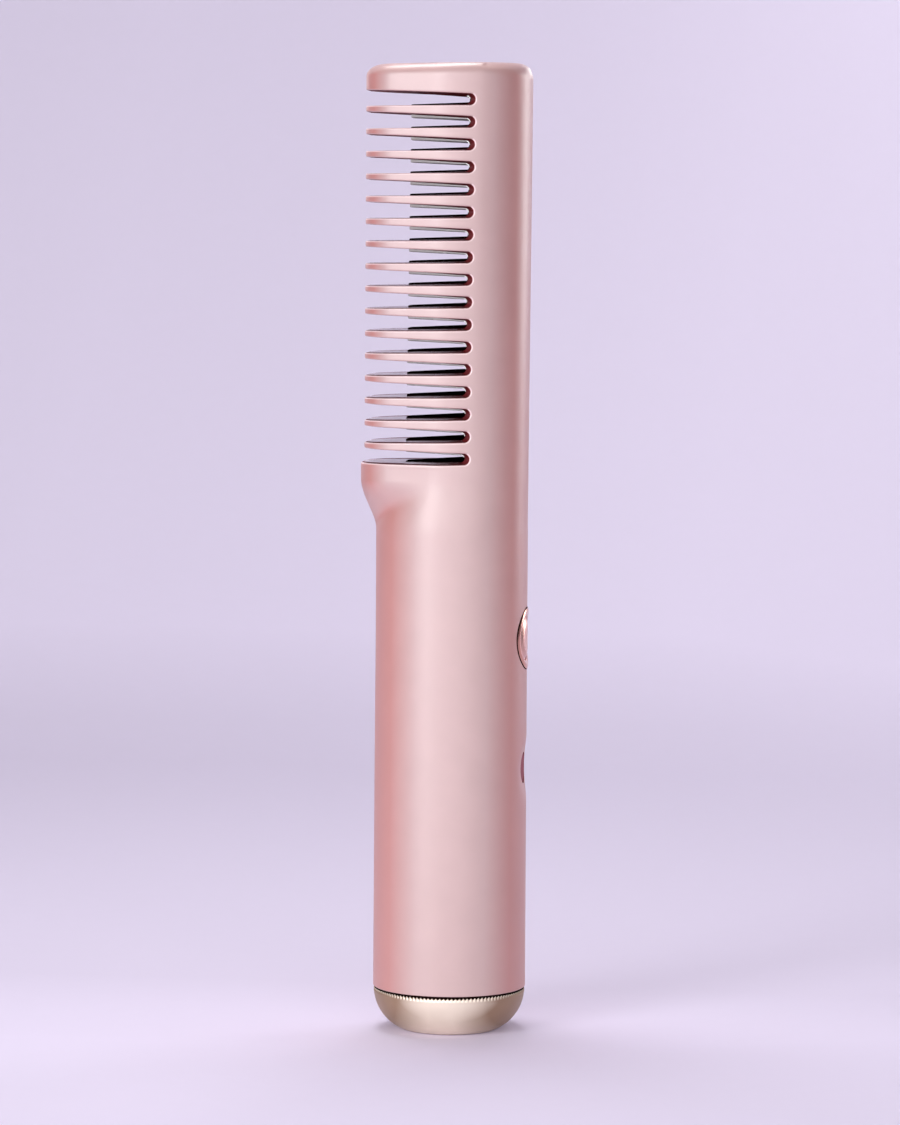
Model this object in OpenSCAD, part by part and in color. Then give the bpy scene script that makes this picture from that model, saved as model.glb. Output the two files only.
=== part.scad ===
// Cordless hot comb: a slim round handle, a shoulder and a wedge-shaped head with a slotted comb edge.
// Two toothed shells hold a heated metal comb between them, and a domed cap closes the lower end.
// Frame: origin in the middle of the foot, +Z up the handle, -X towards the teeth, +X towards the
// spine with the button, -Y towards the front shell. Millimetres.

/* [Handle] */
// Outer diameter of the round handle
handle_d = 36.4; // [34:0.2:40]
// Thickness of the shell's wall
wall = 2; // [1.6:0.1:2.4]
// Distance from the cell's upper end to where the handle starts to swell into the shoulder
handle_headroom = 24.5; // [22:0.5:30]

/* [Base cap] */
// Height of the domed cap
cap_h = 9.9; // [9.5:0.1:11]
// Diameter of the flat foot
foot_d = 22.4; // [21:0.2:25]
// Thickness of the cap's wall
cap_wall = 1.6; // [1.2:0.1:1.8]
// How far the cap's rim lies inside the handle's surface
cap_set_in = 0.15; // [0.05:0.05:0.4]
// How round the dome is: its profile's height radius, as a share of the cap's height
dome_fullness = 1.06; // [1.03:0.01:1.12]
// Number of serrations round the cap's rim
serration_count = 120; // [80:4:160]
// Depth of a serration
serration_depth = 0.25; // [0.1:0.05:0.4]
// Height of the serrated band
serration_h = 0.9; // [0.5:0.1:1.4]
// Height of the dark gap between cap and shells
seam_gap = 0.4; // [0.2:0.1:0.8]
// How deep the dark gap is
seam_depth = 0.6; // [0.3:0.1:1]

/* [Shoulder] */
// Height of the swell, from the round handle to the shoulder's top face
neck_h = 16.7; // [15:0.1:20]
// Reach of the shoulder from the handle's axis
shoulder_reach = 21.4; // [21:0.1:23]
// Height of the straight band under the shoulder's top face
shoulder_band = 3.8; // [1:0.2:5]
// Radius of the shoulder's front and rear corners
shoulder_end_r = 11; // [9:0.5:12]
// Half distance between the shoulder's corner centres
shoulder_end_y = 3.5; // [2.5:0.5:4.5]

/* [Head] */
// Height of the whole comb at its spine
total_h = 230.3; // [228:0.5:240]
// Radius of the head's round spine
spine_r = 17.6; // [17:0.1:18]
// Distance of the spine from the handle's axis
spine_x = 18.6; // [18:0.1:19]
// Distance of the teeth's tips from the handle's axis
tip_x = 20.4; // [19.5:0.1:21.5]
// Radius of the tips' front and rear corners
tip_r = 11; // [9:0.5:12]
// Half distance between the tips' corner centres
tip_y = 4; // [3:0.2:4.6]
// Fall of the top edge from the spine to the teeth, degrees
top_fall = 1.5; // [0:0.5:2.5]
// Corner radius of the top edge on the teeth's side
top_corner_teeth = 3.5; // [2:0.5:4]
// Corner radius of the top edge on the spine's side
top_corner_spine = 4; // [3:0.5:5]
// Thickness of the head's top wall above the hollow
top_wall = 3.4; // [3:0.1:4]

/* [Comb slots] */
// Wanted distance from slot to slot; the true one divides the row evenly
slot_spacing = 5.3; // [5:0.1:7]
// Distance from the topmost slot's middle to the top of the comb
slot_top_gap = 9.06; // [8:0.02:10]
// Height of a slot at its closed end
slot_root_h = 3; // [2.4:0.1:3.2]
// Height of a slot at the tips
slot_mouth_h = 3.9; // [3.4:0.1:4]
// Distance of the slots' closed end past the handle's axis
slot_root_x = 6.5; // [6:0.1:7]

/* [Heating comb] */
// Distance of the metal tips from the handle's axis
metal_tip_x = 10; // [9:0.2:12]
// Distance of the metal slots' closed end past the axis
metal_root_x = 4.2; // [3.6:0.1:5]
// Half depth of the metal teeth at their tips
metal_tip_y = 4; // [3:0.2:5]
// Half depth of the metal bar
metal_bar_y = 12; // [11:0.2:12.2]
// Thickness of the metal bar behind the slots
metal_bar_t = 4.9; // [4.5:0.1:5.2]
// Height of a metal slot at its closed end
metal_slot_root_h = 1.2; // [1:0.1:2]
// Height of a metal slot at the metal tips
metal_slot_mouth_h = 2.6; // [2.4:0.1:3.3]
// Gap between the metal comb and the shells
metal_clearance = 0.15; // [0.1:0.05:0.3]

/* [Heater] */
// Thickness of the ceramic heater
heater_t = 1.3; // [1:0.1:1.5]
// Width of the ceramic heater
heater_w = 12; // [10:0.5:13]
// How far the heater's ends stay inside the row of slots
heater_set_in = 5.32; // [5:0.1:12]
// Thickness of the insulation strip
insulation_t = 0.9; // [0.5:0.1:1]
// Thickness of the clamp bar
clamp_t = 1.4; // [1:0.1:1.6]
// Width of the clamp bar
clamp_w = 10; // [8:0.5:11]
// Thickness of the carrier frame
carrier_t = 4.4; // [4:0.1:4.5]
// Width of the carrier's window
carrier_window_w = 16.4; // [16:0.1:16.6]
// Diameter of the thermal fuse
fuse_d = 3.2; // [2.6:0.1:3.2]
// Length of the thermal fuse's body
fuse_l = 10; // [8:0.5:12]
// Diameter of the temperature sensor
sensor_d = 1.8; // [1.4:0.1:1.8]

/* [Button] */
// Distance from the button's centre to where the handle starts to swell
button_drop_z = 25; // [23:0.5:27]
// Outer diameter of the button ring
ring_d = 14.7; // [14:0.1:15]
// Width of the ring's visible face
ring_face = 2.05; // [1.8:0.05:2.2]
// Gap between the ring and its hole in the shells
ring_fit = 0.05; // [0.03:0.01:0.1]
// Radial gap between the button and the ring
button_fit = 0.08; // [0.05:0.01:0.1]
// How far the button travels
button_travel = 0.6; // [0.3:0.1:0.7]
// Width of the button's retaining lip
lip_w = 0.8; // [0.6:0.1:0.9]
// Height of the button's retaining lip
lip_h = 0.8; // [0.6:0.1:0.9]
// Thickness of the button's skirt
skirt_t = 0.6; // [0.5:0.1:0.7]
// Diameter of the button's centre boss
boss_d = 3.4; // [3:0.2:4]

/* [Display] */
// Distance from the button's centre down to the display's centre
display_drop_z = 31; // [29:0.5:33]
// Length of the dished recess along the handle
dish_l = 15.2; // [13:0.2:16]
// Depth of the dished recess
dish_depth = 0.55; // [0.4:0.05:0.7]
// Diameter of the display lens
lens_d = 7.2; // [6:0.2:7.6]
// Thickness of the display lens
lens_t = 1.9; // [1.6:0.1:2]
// Side of the square display module
display_w = 8; // [7:0.2:9]

/* [Battery and boards] */
// Diameter of the cell
cell_d = 21.2; // [20:0.2:21.6]
// Length of the cell
cell_l = 70.2; // [68:0.2:71]
// Gap between the cell and what holds it
cell_fit = 0.15; // [0.1:0.05:0.3]
// Distance from the shells' lower end to the chassis' lower deck
deck_rise = 11.7; // [11:0.1:13]
// Thickness of the chassis' decks and plate
deck_t = 2; // [1.6:0.1:2.2]
// Thickness of the chassis' plate
plate_t = 1.2; // [1:0.1:1.4]
// Thickness of the circuit boards
board_t = 1.2; // [1:0.1:1.6]
// Space between the main board and the handle's wall
board_room = 3.4; // [3.3:0.1:3.8]
// Height of the main board's standoffs
standoff_h = 1; // [0.8:0.1:1.2]
// Side of the square tact switch
switch_w = 6; // [5:0.1:6]
// Height of the tact switch's body
switch_h = 2; // [1.6:0.1:2.1]
// Diameter of the switch's stem
stem_d = 3; // [2:0.1:3.2]
// Radial gap round the switch's stem
stem_fit = 0.08; // [0.05:0.01:0.1]

/* [Charging socket] */
// Width of the charging socket
socket_w = 8.94; // [8.9:0.02:9]
// Thickness of the charging socket
socket_t = 3.26; // [3.2:0.02:3.3]
// Length of the charging socket
socket_l = 7.3; // [7:0.1:7.6]
// Gap round the socket in the cap
socket_gap = 0.2; // [0.1:0.05:0.4]
// Thickness of the socket's steel skin
socket_skin = 0.35; // [0.3:0.05:0.5]

/* [Screws and wires] */
// Diameter of the case screws
screw_d = 2; // [1.8:0.1:2.2]
// Diameter of the case screws' heads
screw_head_d = 3.8; // [3.4:0.1:4]
// Height of the case screws' heads
screw_head_h = 1.4; // [1.2:0.1:1.6]
// Diameter of the board screws
small_screw_d = 1.6; // [1.4:0.1:1.8]
// Diameter of the board screws' heads
small_head_d = 3; // [2.6:0.1:3.2]
// Height of the board screws' heads
small_head_h = 1.1; // [0.9:0.1:1.2]
// Gap round a screw in its hole
screw_gap = 0.05; // [0.03:0.01:0.1]
// Diameter of the power wires
wire_d = 1.2; // [1:0.1:1.3]
// Diameter of the sensor wires
thin_wire_d = 0.7; // [0.6:0.1:0.8]

/* [Hidden] */

$fn = 96;
section_points = 72;
eps = 0.01;
far = 60;
sides = [-1, 1];

// Gap between inner parts that don't touch
part_gap = 0.3;

// Half length of the chord at x in a circle of radius r
function chord(r, x) = sqrt(r * r - x * x);

// Cell and its cradles
seam_z = cap_h + seam_gap;
deck_z = seam_z + deck_rise;
tab_t = 0.3;
cell_z = deck_z + deck_t + tab_t;
cell_top_z = cell_z + cell_l;
cradle_t = 1.5;
cradle_h = 6;
cradle_reach = 6;
cradle_low_gap = 14;
cradle_high_gap = 20;
cradle_z = [cell_z + cradle_low_gap, cell_top_z - cradle_high_gap];

// Handle
handle_r = handle_d / 2;
inner_r = handle_r - wall;
handle_top_z = cell_top_z + handle_headroom;
shoulder_z = handle_top_z + neck_h;
button_z = handle_top_z - button_drop_z;
display_z = button_z - display_drop_z;
deck_r = inner_r - part_gap;

// Shoulder and head: each section is the hull of a spine disc and two corner discs [x, y, radius]
spine_cx = spine_x - spine_r;
shoulder_end_x = shoulder_end_r - shoulder_reach;
blend_h = neck_h - shoulder_band;
blend_steps = 10;
neck_step = 0.03;
neck_sink = 0.5;
tip_cx = tip_r - tip_x;
hollow_x = slot_root_x + wall;
bar_back_x = metal_root_x + metal_bar_t;
first_slot_z = shoulder_z + slot_root_h / 2;
slots_top_z = total_h - slot_top_gap;
slot_count = round((slots_top_z - first_slot_z) / slot_spacing) + 1;
slot_pitch = (slots_top_z - first_slot_z) / (slot_count - 1);
hollow_top_z = total_h - top_wall;
pocket_floor_z = shoulder_z - wall;
pocket_headroom = 2;
pocket_top_z = hollow_top_z - pocket_headroom;

// Board stack, from the spine inwards
board_front_x = inner_r - board_room;
board_back_x = board_front_x - board_t;
plate_front_x = board_back_x - standoff_h;
plate_back_x = plate_front_x - plate_t;
plate_side_gap = 0.7;
plate_y = chord(inner_r, plate_front_x) - plate_side_gap;
board_side_gap = 0.5;
board_y = chord(inner_r, board_front_x) - board_side_gap;
board_past_display = 13;
board_low_z = display_z - board_past_display;
deck_below_neck = 7;
top_deck_z = handle_top_z - deck_below_neck;
board_below_deck = 1.5;
board_high_z = top_deck_z - board_below_deck;
board_screw_inset = 3;
board_screw_z = [board_low_z + board_screw_inset, board_high_z - board_screw_inset];
board_screw_y = chord(inner_r, board_front_x + small_head_h) - small_head_d / 2 - part_gap;
standoff_d = 4;
cable_gate_y = 6.5;
cable_gate_x = board_back_x - part_gap;

// Cell's place, its tabs and the windows that they and their wires pass through
cell_x = plate_back_x - cell_fit - cell_d / 2;
cell_ring_t = 1.5;
cell_groove = 0.5;
cell_cap_d = 9;
tab_w = 5;
tab_reach = 3;
tab_end_gap = 0.4;
window_w = 6;
window_h = 3;
lead_window_h = 4.5;
lead_window_gap = 0.5;

// Button, its switch and the ring, measured along +X
ring_r = ring_d / 2;
ring_bore_r = ring_r - ring_face;
ring_step_t = 0.7;
ring_step_x = inner_r - ring_step_t;
ring_sink = 0.2;
ring_back_x = chord(inner_r, ring_r) - ring_sink;
button_r = ring_bore_r - button_fit;
button_drop = 0.05;
lip_r = button_r + lip_w;
lip_gap = 0.1;
button_back_x = ring_step_x - lip_gap - lip_h;
switch_top_x = board_front_x + switch_h;
stem_proud = 0.2;
stem_top_x = switch_top_x + button_travel + stem_proud;
boss_h = 1;
button_plate_x = stem_top_x + boss_h;

// Dished recess with the lens
dish_r = (dish_l * dish_l / 4 + dish_depth * dish_depth) / (2 * dish_depth);
lens_front_x = handle_r - dish_depth;
lens_fit = 0.05;
lens_back_gap = 0.2;

// Heater stack, from the metal bar towards the spine
heater_l = slots_top_z - first_slot_z - 2 * heater_set_in;
heater_lift = 1.4;
heater_mid_z = (shoulder_z + slots_top_z) / 2 + heater_lift;
clamp_window_gap = 0.5;
bridge_t = 1.6;
bridge_h = 3;
fuse_lead_l = 3;
fuse_lead_d = 0.8;
insulation_x = bar_back_x + heater_t;
clamp_x = insulation_x + insulation_t;
clamp_back_x = clamp_x + clamp_t;
clamp_screw_gap = 3.5;
clamp_screw_z = [for (s = sides) heater_mid_z + s * (heater_l / 2 + clamp_screw_gap)];
clamp_end = 4;
clamp_l = heater_l + 2 * (clamp_screw_gap + clamp_end);
clamp_boss_d = 4.4;
clamp_thread_l = 2.5;
carrier_back_x = bar_back_x + carrier_t;
carrier_drop = 9.7;
carrier_low_z = shoulder_z - carrier_drop;
carrier_top_z = hollow_top_z - part_gap;
carrier_leg_x = 11;
carrier_leg_y = 8;
carrier_leg_d = 2;
sensor_z = heater_mid_z - heater_l / 4;
sensor_l = 4;
sensor_gap = 0.05;
sensor_x = bar_back_x + heater_t / 2 + part_gap;
sensor_y = heater_w / 2 + sensor_d / 2 + sensor_gap;

// Lower end
plug_fit = 0.1;
plug_r = inner_r - plug_fit;
plug_t = 1.7;
plug_floor_t = 2;
plug_h = 9.7;
plug_skirt_h = 3.4;
plug_skirt_r = plug_r - part_gap;
cap_r = handle_r - cap_set_in;
cap_bore_r = plug_skirt_r + plug_fit;
cap_bore_h = plug_skirt_h + 2 * plug_fit;
charge_board_z = cap_h - board_t;
charge_board_w = 19;
charge_board_d = 13;
socket_low_z = charge_board_z - socket_l;
socket_back_t = 1.3;
tongue_w = 6.6;
tongue_t = 0.7;
tongue_set_in = 1;
post_y = 11;
post_d = 4.8;
charge_screw_x = 7.6;
plug_thread_l = 6;
plug_screw_l = plug_floor_t + plug_thread_l;
wire_hole_x = 5;
wire_hole_y = 4;
wire_hole_d = 4;

// Chassis ear and the screws that hold it to the rear shell
ear_past_cell = 9.5;
ear_z = cell_top_z + ear_past_cell;
ear_y = 3;
ear_h = 8;
ear_end = 3.5;
ear_outer_x = -5;
ear_inner_x = 4;
ear_screw_x = [ear_outer_x, ear_inner_x];
case_boss_d = 5.2;
case_thread_l = 5;

// Parts on the main board
inductor_w = 6;
inductor_h = 2;
inductor_past = 24;
inductor_groove = 0.4;
inductor_rim = 1;
capacitor_w = 1.6;
capacitor_h = 1.1;
capacitor_l = 3.2;
capacitor_spacing = 3;
capacitor_past = 9;
switch_floor_t = 0.5;
stem_lift = 0.6;

// Where the wires run
wire_rest = 0.2;
strand_d = wire_d * 0.8;
sensor_lead_set_in = 2.8;
sensor_lead_y = cable_gate_y - sensor_lead_set_in;
heater_lead_y = 1.8;
charge_lead_y = 2;
charge_lead_half = 0.7;
charge_lead_rise = 5;
sensor_start_half = 0.45;
sensor_run_half = 0.6;
lead_bend_h = 7;
lead_end_h = 3;
tab_lead_start = 1.6;
tab_lead_mid = 0.6;
tab_lead_rise = 2.2;
tab_lead_top = 3.6;
low_lead_rise = 12;

// ---------------------------------------------------------------- helpers

// Which disc reaches furthest in the direction a
function reach(disc, a) = disc[0] * cos(a) + disc[1] * sin(a) + disc[2];
function furthest(discs, a) =
    let (r = [for (d = discs) reach(d, a)], m = max(r))
    [for (i = [0:len(discs) - 1]) if (r[i] == m) discs[i]][0];

// Outline of the hull of some discs, one point for each direction
function hull_outline(discs, n = section_points) =
    [for (i = [0:n - 1])
        let (a = 360 * (i + 0.5) / n, d = furthest(discs, a))
        [d[0] + d[2] * cos(a), d[1] + d[2] * sin(a)]];

function mix(a, b, t) = a + (b - a) * t;
function ease(t) = t * t * (3 - 2 * t);

// The three discs of each section, made smaller by inset
function head_discs(inset) =
    [[spine_cx, 0, spine_r - inset], [tip_cx, tip_y, tip_r - inset], [tip_cx, -tip_y, tip_r - inset]];
function neck_discs(t, inset) =
    let (end_r = mix(handle_r + shoulder_end_x, shoulder_end_r, t) - inset, end_y = shoulder_end_y * t)
    [[spine_cx * t, 0, mix(handle_r, spine_r, t) - inset],
     [shoulder_end_x, end_y, end_r], [shoulder_end_x, -end_y, end_r]];

// A solid through rings of equally many points, bottom ring first
module loft(rings) {
    n = len(rings[0]);
    m = len(rings);
    polyhedron(
        points = [for (r = rings) each r],
        faces = concat(
            [[for (i = [0:n - 1]) i]],
            [for (j = [0:m - 2]) for (i = [0:n - 1])
                let (a = j * n + i, b = j * n + (i + 1) % n)
                each [[a, a + n, b], [b, a + n, b + n]]],
            [[for (i = [n - 1:-1:0]) (m - 1) * n + i]]));
}

function ring_at(outline, z) = [for (p = outline) [p[0], p[1], z]];

// Cuts the corners of a path, so that a wire bends smoothly
function cut_corners(p) =
    [p[0], for (i = [0:len(p) - 2]) each [mix(p[i], p[i + 1], 0.25), mix(p[i], p[i + 1], 0.75)],
     p[len(p) - 1]];
function unit(v) = v / norm(v);

// A round wire along a path that mostly runs up or down
module wire(path, d, points = 8) {
    p = cut_corners(cut_corners(path));
    last = len(p) - 1;
    loft([for (i = [0:last])
        let (t = unit(p[min(i + 1, last)] - p[max(i - 1, 0)]),
             u = unit(cross([0, 1, 0], t)),
             v = cross(t, u))
        [for (k = [0:points - 1])
            p[i] + d / 2 * (cos(360 * k / points) * u + sin(360 * k / points) * v)]]);
}

module along_x(x, z, y = 0) {
    translate([x, y, z]) rotate([0, 90, 0]) children();
}

// A box from its low corner along X, centred in Y
module bar(x, z, size) {
    translate([x, -size[1] / 2, z]) cube(size);
}

// A screw with its head's underside at the origin and its shank along +Z
module screw(d, head_d, head_h, l) {
    cylinder(d = d, h = l);
    difference() {
        translate([0, 0, -head_h]) cylinder(d = head_d, h = head_h);
        translate([0, 0, -head_h - eps]) cylinder(d = head_d / 2, h = head_h / 2, $fn = 6);
    }
}

module case_screw(l) {
    screw(screw_d, screw_head_d, screw_head_h, l);
}

module small_screw(l) {
    screw(small_screw_d, small_head_d, small_head_h, l);
}

// The holes that these screws pass through
module case_screw_hole(l) {
    cylinder(d = screw_d + 2 * screw_gap, h = l);
}

module small_screw_hole(l) {
    cylinder(d = small_screw_d + 2 * screw_gap, h = l);
}

// ---------------------------------------------------------------- shells

// Side view of the head: a sloping top edge with two round corners
module head_side() {
    rise = tan(top_fall);
    teeth_z = total_h - (tip_x + spine_x) * rise;
    translate([0, far / 2, 0]) rotate([90, 0, 0]) linear_extrude(far)
        union() {
            polygon([[-tip_x, shoulder_z - 5], [spine_x, shoulder_z - 5],
                [spine_x, total_h - top_corner_spine],
                [spine_x - top_corner_spine, total_h - top_corner_spine * rise],
                [top_corner_teeth - tip_x, teeth_z + top_corner_teeth * rise],
                [-tip_x, teeth_z - top_corner_teeth]]);
            translate([spine_x - top_corner_spine, total_h - top_corner_spine])
                circle(r = top_corner_spine * cos(top_fall));
            translate([top_corner_teeth - tip_x, teeth_z - top_corner_teeth])
                circle(r = top_corner_teeth);
        }
}

// The swell from the round handle to the shoulder. Its lowest rings lie just inside the handle.
module neck(inset, top_z) {
    loft(concat(
        [ring_at(hull_outline(neck_discs(0, inset + neck_sink)), handle_top_z - 1)],
        [for (i = [0:blend_steps])
            let (t = i / blend_steps, discs = neck_discs(ease(t), inset + neck_step * (1 - t)))
            ring_at(hull_outline(discs), handle_top_z + blend_h * t)],
        [ring_at(hull_outline(neck_discs(1, inset)), top_z)]));
}

// The whole outer form, without slots or hollow
module body_form() {
    translate([0, 0, seam_z]) cylinder(r = handle_r, h = handle_top_z - seam_z);
    neck(0, shoulder_z);
    intersection() {
        translate([0, 0, shoulder_z - eps])
            linear_extrude(total_h - shoulder_z + 1) polygon(hull_outline(head_discs(0)));
        head_side();
    }
}

// The hollow of handle, shoulder and spine
module body_hollow() {
    translate([0, 0, seam_z - 1]) cylinder(r = inner_r, h = handle_top_z - seam_z + 1);
    neck(wall, pocket_floor_z + eps);
    intersection() {
        translate([0, 0, pocket_floor_z])
            linear_extrude(hollow_top_z - pocket_floor_z) polygon(hull_outline(head_discs(wall)));
        translate([hollow_x, -far / 2, 0]) cube([far, far, total_h]);
    }
    metal_pocket();
}

// Section of the metal comb, made larger by grow: a wedge with its teeth's tips at -X and the bar at +X
module metal_section(grow = 0) {
    tip_half = metal_tip_y + grow;
    bar_half = metal_bar_y + grow;
    polygon([[-metal_tip_x - grow, -tip_half], [metal_root_x, -bar_half], [bar_back_x, -bar_half],
        [bar_back_x, bar_half], [metal_root_x, bar_half], [-metal_tip_x - grow, tip_half]]);
}

// Room for the metal comb between the two rows of shell teeth
module metal_pocket() {
    c = metal_clearance;
    translate([0, 0, pocket_floor_z])
        linear_extrude(slots_top_z - pocket_floor_z) metal_section(c);
    bar(metal_root_x - c, pocket_floor_z,
        [metal_bar_t + c, 2 * (metal_bar_y + c), pocket_top_z - pocket_floor_z]);
}

// Slots that narrow from the mouth to a round closed end, seen from the side
module slot_row(root_x, root_h, mouth_x, mouth_h, from_z) {
    run = root_x - root_h / 2 + mouth_x;
    widen = (mouth_h - root_h) / 2 / run;
    outside = mouth_x + 4;
    half = root_h / 2 + widen * (root_x - root_h / 2 + outside);
    intersection() {
        union() {
            for (i = [0:slot_count - 1]) translate([0, 0, first_slot_z + i * slot_pitch])
                rotate([90, 0, 0]) translate([0, 0, -far / 2]) linear_extrude(far) union() {
                    polygon([[-outside, -half], [root_x - root_h / 2, -root_h / 2],
                        [root_x - root_h / 2, root_h / 2], [-outside, half]]);
                    translate([root_x - root_h / 2, 0]) circle(d = root_h);
                }
        }
        translate([-far, -far, from_z]) cube([2 * far, 2 * far, total_h]);
    }
}

module shell(side) {
    difference() {
        body_form();
        body_hollow();
        slot_row(slot_root_x, slot_root_h, tip_x, slot_mouth_h, shoulder_z);
        along_x(0, button_z) cylinder(r = ring_r + ring_fit, h = far);
        along_x(0, display_z) cylinder(d = lens_d + 2 * lens_fit, h = far);
        translate([lens_front_x + dish_r, 0, display_z]) sphere(r = dish_r, $fn = 128);
        translate([-far, side > 0 ? -2 * far : 0, -far]) cube([2 * far, 2 * far, 3 * total_h]);
    }
}

module front_shell() {
    color([0.87, 0.69, 0.70]) shell(-1);
}

// The rear shell also carries the bosses that the chassis is screwed to
module rear_shell() {
    color([0.87, 0.69, 0.70]) union() {
        shell(1);
        for (x = ear_screw_x) translate([x, 0, ear_z]) rotate([-90, 0, 0]) difference() {
            boss_low = ear_y + deck_t;
            boss_high = chord(inner_r, x) + wall / 2;
            translate([0, 0, boss_low]) cylinder(d = case_boss_d, h = boss_high - boss_low);
            translate([0, 0, boss_low - eps]) case_screw_hole(case_thread_l + 1);
        }
    }
}

// ---------------------------------------------------------------- lower end

// Half profile of the dome: an ellipse that ends on the flat foot
function dome_profile(inset) =
    let (b = cap_h * dome_fullness,
         foot_r = foot_d / 2,
         s = sqrt(1 - cap_h * cap_h / (b * b)),
         a = (cap_r - foot_r) / (1 - s))
    [for (i = [0:16])
        let (z = cap_h * i / 16, h = (cap_h - z) / b)
        [cap_r - a + a * sqrt(1 - h * h) - inset, z]];

module base_cap() {
    color([0.80, 0.72, 0.63]) difference() {
        rotate_extrude() polygon(concat([[0, 0]], dome_profile(0), [[0, cap_h]]));
        translate([0, 0, cap_wall]) rotate_extrude()
            polygon(concat([[0, 0]], dome_profile(cap_wall), [[0, cap_h]]));
        translate([0, 0, cap_h - cap_bore_h]) cylinder(r = cap_bore_r, h = cap_h);
        translate([0, 0, cap_h - serration_h]) difference() {
            cylinder(r = handle_r + 1, h = serration_h + 1);
            translate([0, 0, -1]) linear_extrude(serration_h + 3) serration_outline();
        }
        translate([0, 0, -1]) linear_extrude(cap_wall + 2)
            socket_outline(socket_w + 2 * socket_gap, socket_t + 2 * socket_gap);
    }
}

module serration_outline() {
    polygon([for (i = [0:2 * serration_count - 1])
        let (r = cap_r - (i % 2) * serration_depth, a = 180 * i / serration_count)
        [r * cos(a), r * sin(a)]]);
}

module socket_outline(w, t) {
    square([w - t, t], center = true);
    for (s = sides) translate([s * (w - t) / 2, 0]) circle(d = t);
}

module end_plug() {
    color([0.09, 0.09, 0.10]) difference() {
        union() {
            translate([0, 0, cap_h]) cylinder(r = cap_r - seam_depth, h = seam_gap);
            translate([0, 0, seam_z]) cylinder(r = plug_r, h = plug_h);
            translate([0, 0, cap_h - plug_skirt_h]) cylinder(r = plug_skirt_r, h = plug_skirt_h);
        }
        translate([0, 0, cap_h + plug_floor_t]) cylinder(r = plug_r - plug_t, h = far);
        translate([0, 0, -1]) cylinder(r = plug_r - plug_t, h = cap_h + 1);
        for (s = sides) {
            translate([0, s * post_y, 0]) case_screw_hole(far);
            translate([s * charge_screw_x, 0, 0]) small_screw_hole(far);
        }
        translate([wire_hole_x, wire_hole_y, 0]) cylinder(d = wire_hole_d, h = far);
    }
}

module plug_screws() {
    color([0.65, 0.65, 0.67]) for (s = sides)
        translate([0, s * post_y, cap_h]) case_screw(plug_screw_l);
}

module charge_board() {
    color([0.05, 0.30, 0.16]) difference() {
        bar(-charge_board_w / 2, charge_board_z, [charge_board_w, charge_board_d, board_t]);
        for (s = sides)
            translate([s * charge_screw_x, 0, charge_board_z - 1]) small_screw_hole(board_t + 2);
    }
}

module charge_board_screws() {
    color([0.65, 0.65, 0.67]) for (s = sides)
        translate([s * charge_screw_x, 0, charge_board_z])
            small_screw(board_t + plug_floor_t - wire_rest);
}

// A steel skin round a hollow mouth, with the contact tongue in the middle
module usb_socket() {
    mouth_l = socket_l - socket_back_t;
    color([0.75, 0.76, 0.78]) translate([0, 0, socket_low_z]) {
        difference() {
            linear_extrude(socket_l) socket_outline(socket_w, socket_t);
            translate([0, 0, -eps]) linear_extrude(mouth_l)
                socket_outline(socket_w - 2 * socket_skin, socket_t - 2 * socket_skin);
        }
        bar(-tongue_w / 2, tongue_set_in, [tongue_w, tongue_t, mouth_l - tongue_set_in + eps]);
    }
}

// ---------------------------------------------------------------- button and display

// A solid that ends on the handle's own curve, so that a round piece lies flush with it
module flush_with_handle(r) {
    intersection() {
        children();
        cylinder(r = r, h = total_h);
    }
}

module button_ring() {
    color([0.80, 0.50, 0.42]) difference() {
        flush_with_handle(handle_r) along_x(ring_back_x, button_z) cylinder(r = ring_r, h = far);
        along_x(0, button_z) cylinder(r = ring_bore_r, h = far);
        along_x(0, button_z) cylinder(r = lip_r + button_fit, h = ring_step_x);
    }
}

module power_button() {
    color([0.86, 0.62, 0.56]) {
        difference() {
            union() {
                flush_with_handle(handle_r - button_drop)
                    along_x(button_back_x, button_z) cylinder(r = button_r, h = far);
                along_x(button_back_x, button_z) cylinder(r = lip_r, h = lip_h);
            }
            along_x(0, button_z) cylinder(r = button_r - skirt_t, h = button_plate_x);
        }
        along_x(stem_top_x, button_z) cylinder(d = boss_d, h = button_plate_x - stem_top_x + eps);
    }
}

module display_lens() {
    color([0.12, 0.08, 0.09])
        along_x(lens_front_x - lens_t, display_z) cylinder(d = lens_d, h = lens_t);
}

module display_module() {
    depth = lens_front_x - lens_t - lens_back_gap - board_front_x;
    color([0.85, 0.85, 0.82])
        bar(board_front_x, display_z - display_w / 2, [depth, display_w, display_w]);
}

// ---------------------------------------------------------------- heating head

module heating_comb() {
    low_z = pocket_floor_z + metal_clearance;
    color([0.62, 0.62, 0.64]) difference() {
        union() {
            translate([0, 0, low_z]) linear_extrude(slots_top_z - low_z) metal_section();
            bar(metal_root_x, low_z,
                [metal_bar_t, 2 * metal_bar_y, pocket_top_z - metal_clearance - low_z]);
            for (z = clamp_screw_z)
                along_x(bar_back_x - eps, z) cylinder(d = clamp_boss_d, h = clamp_x - bar_back_x + eps);
        }
        slot_row(metal_root_x, metal_slot_root_h, metal_tip_x, metal_slot_mouth_h, 0);
        for (z = clamp_screw_z)
            along_x(bar_back_x - clamp_thread_l - 0.5, z) small_screw_hole(far);
    }
}

module heater_element() {
    color([0.92, 0.91, 0.87])
        bar(bar_back_x, heater_mid_z - heater_l / 2, [heater_t, heater_w, heater_l]);
}

module insulation_strip() {
    color([0.78, 0.66, 0.38])
        bar(insulation_x, heater_mid_z - heater_l / 2, [insulation_t, heater_w, heater_l]);
}

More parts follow.
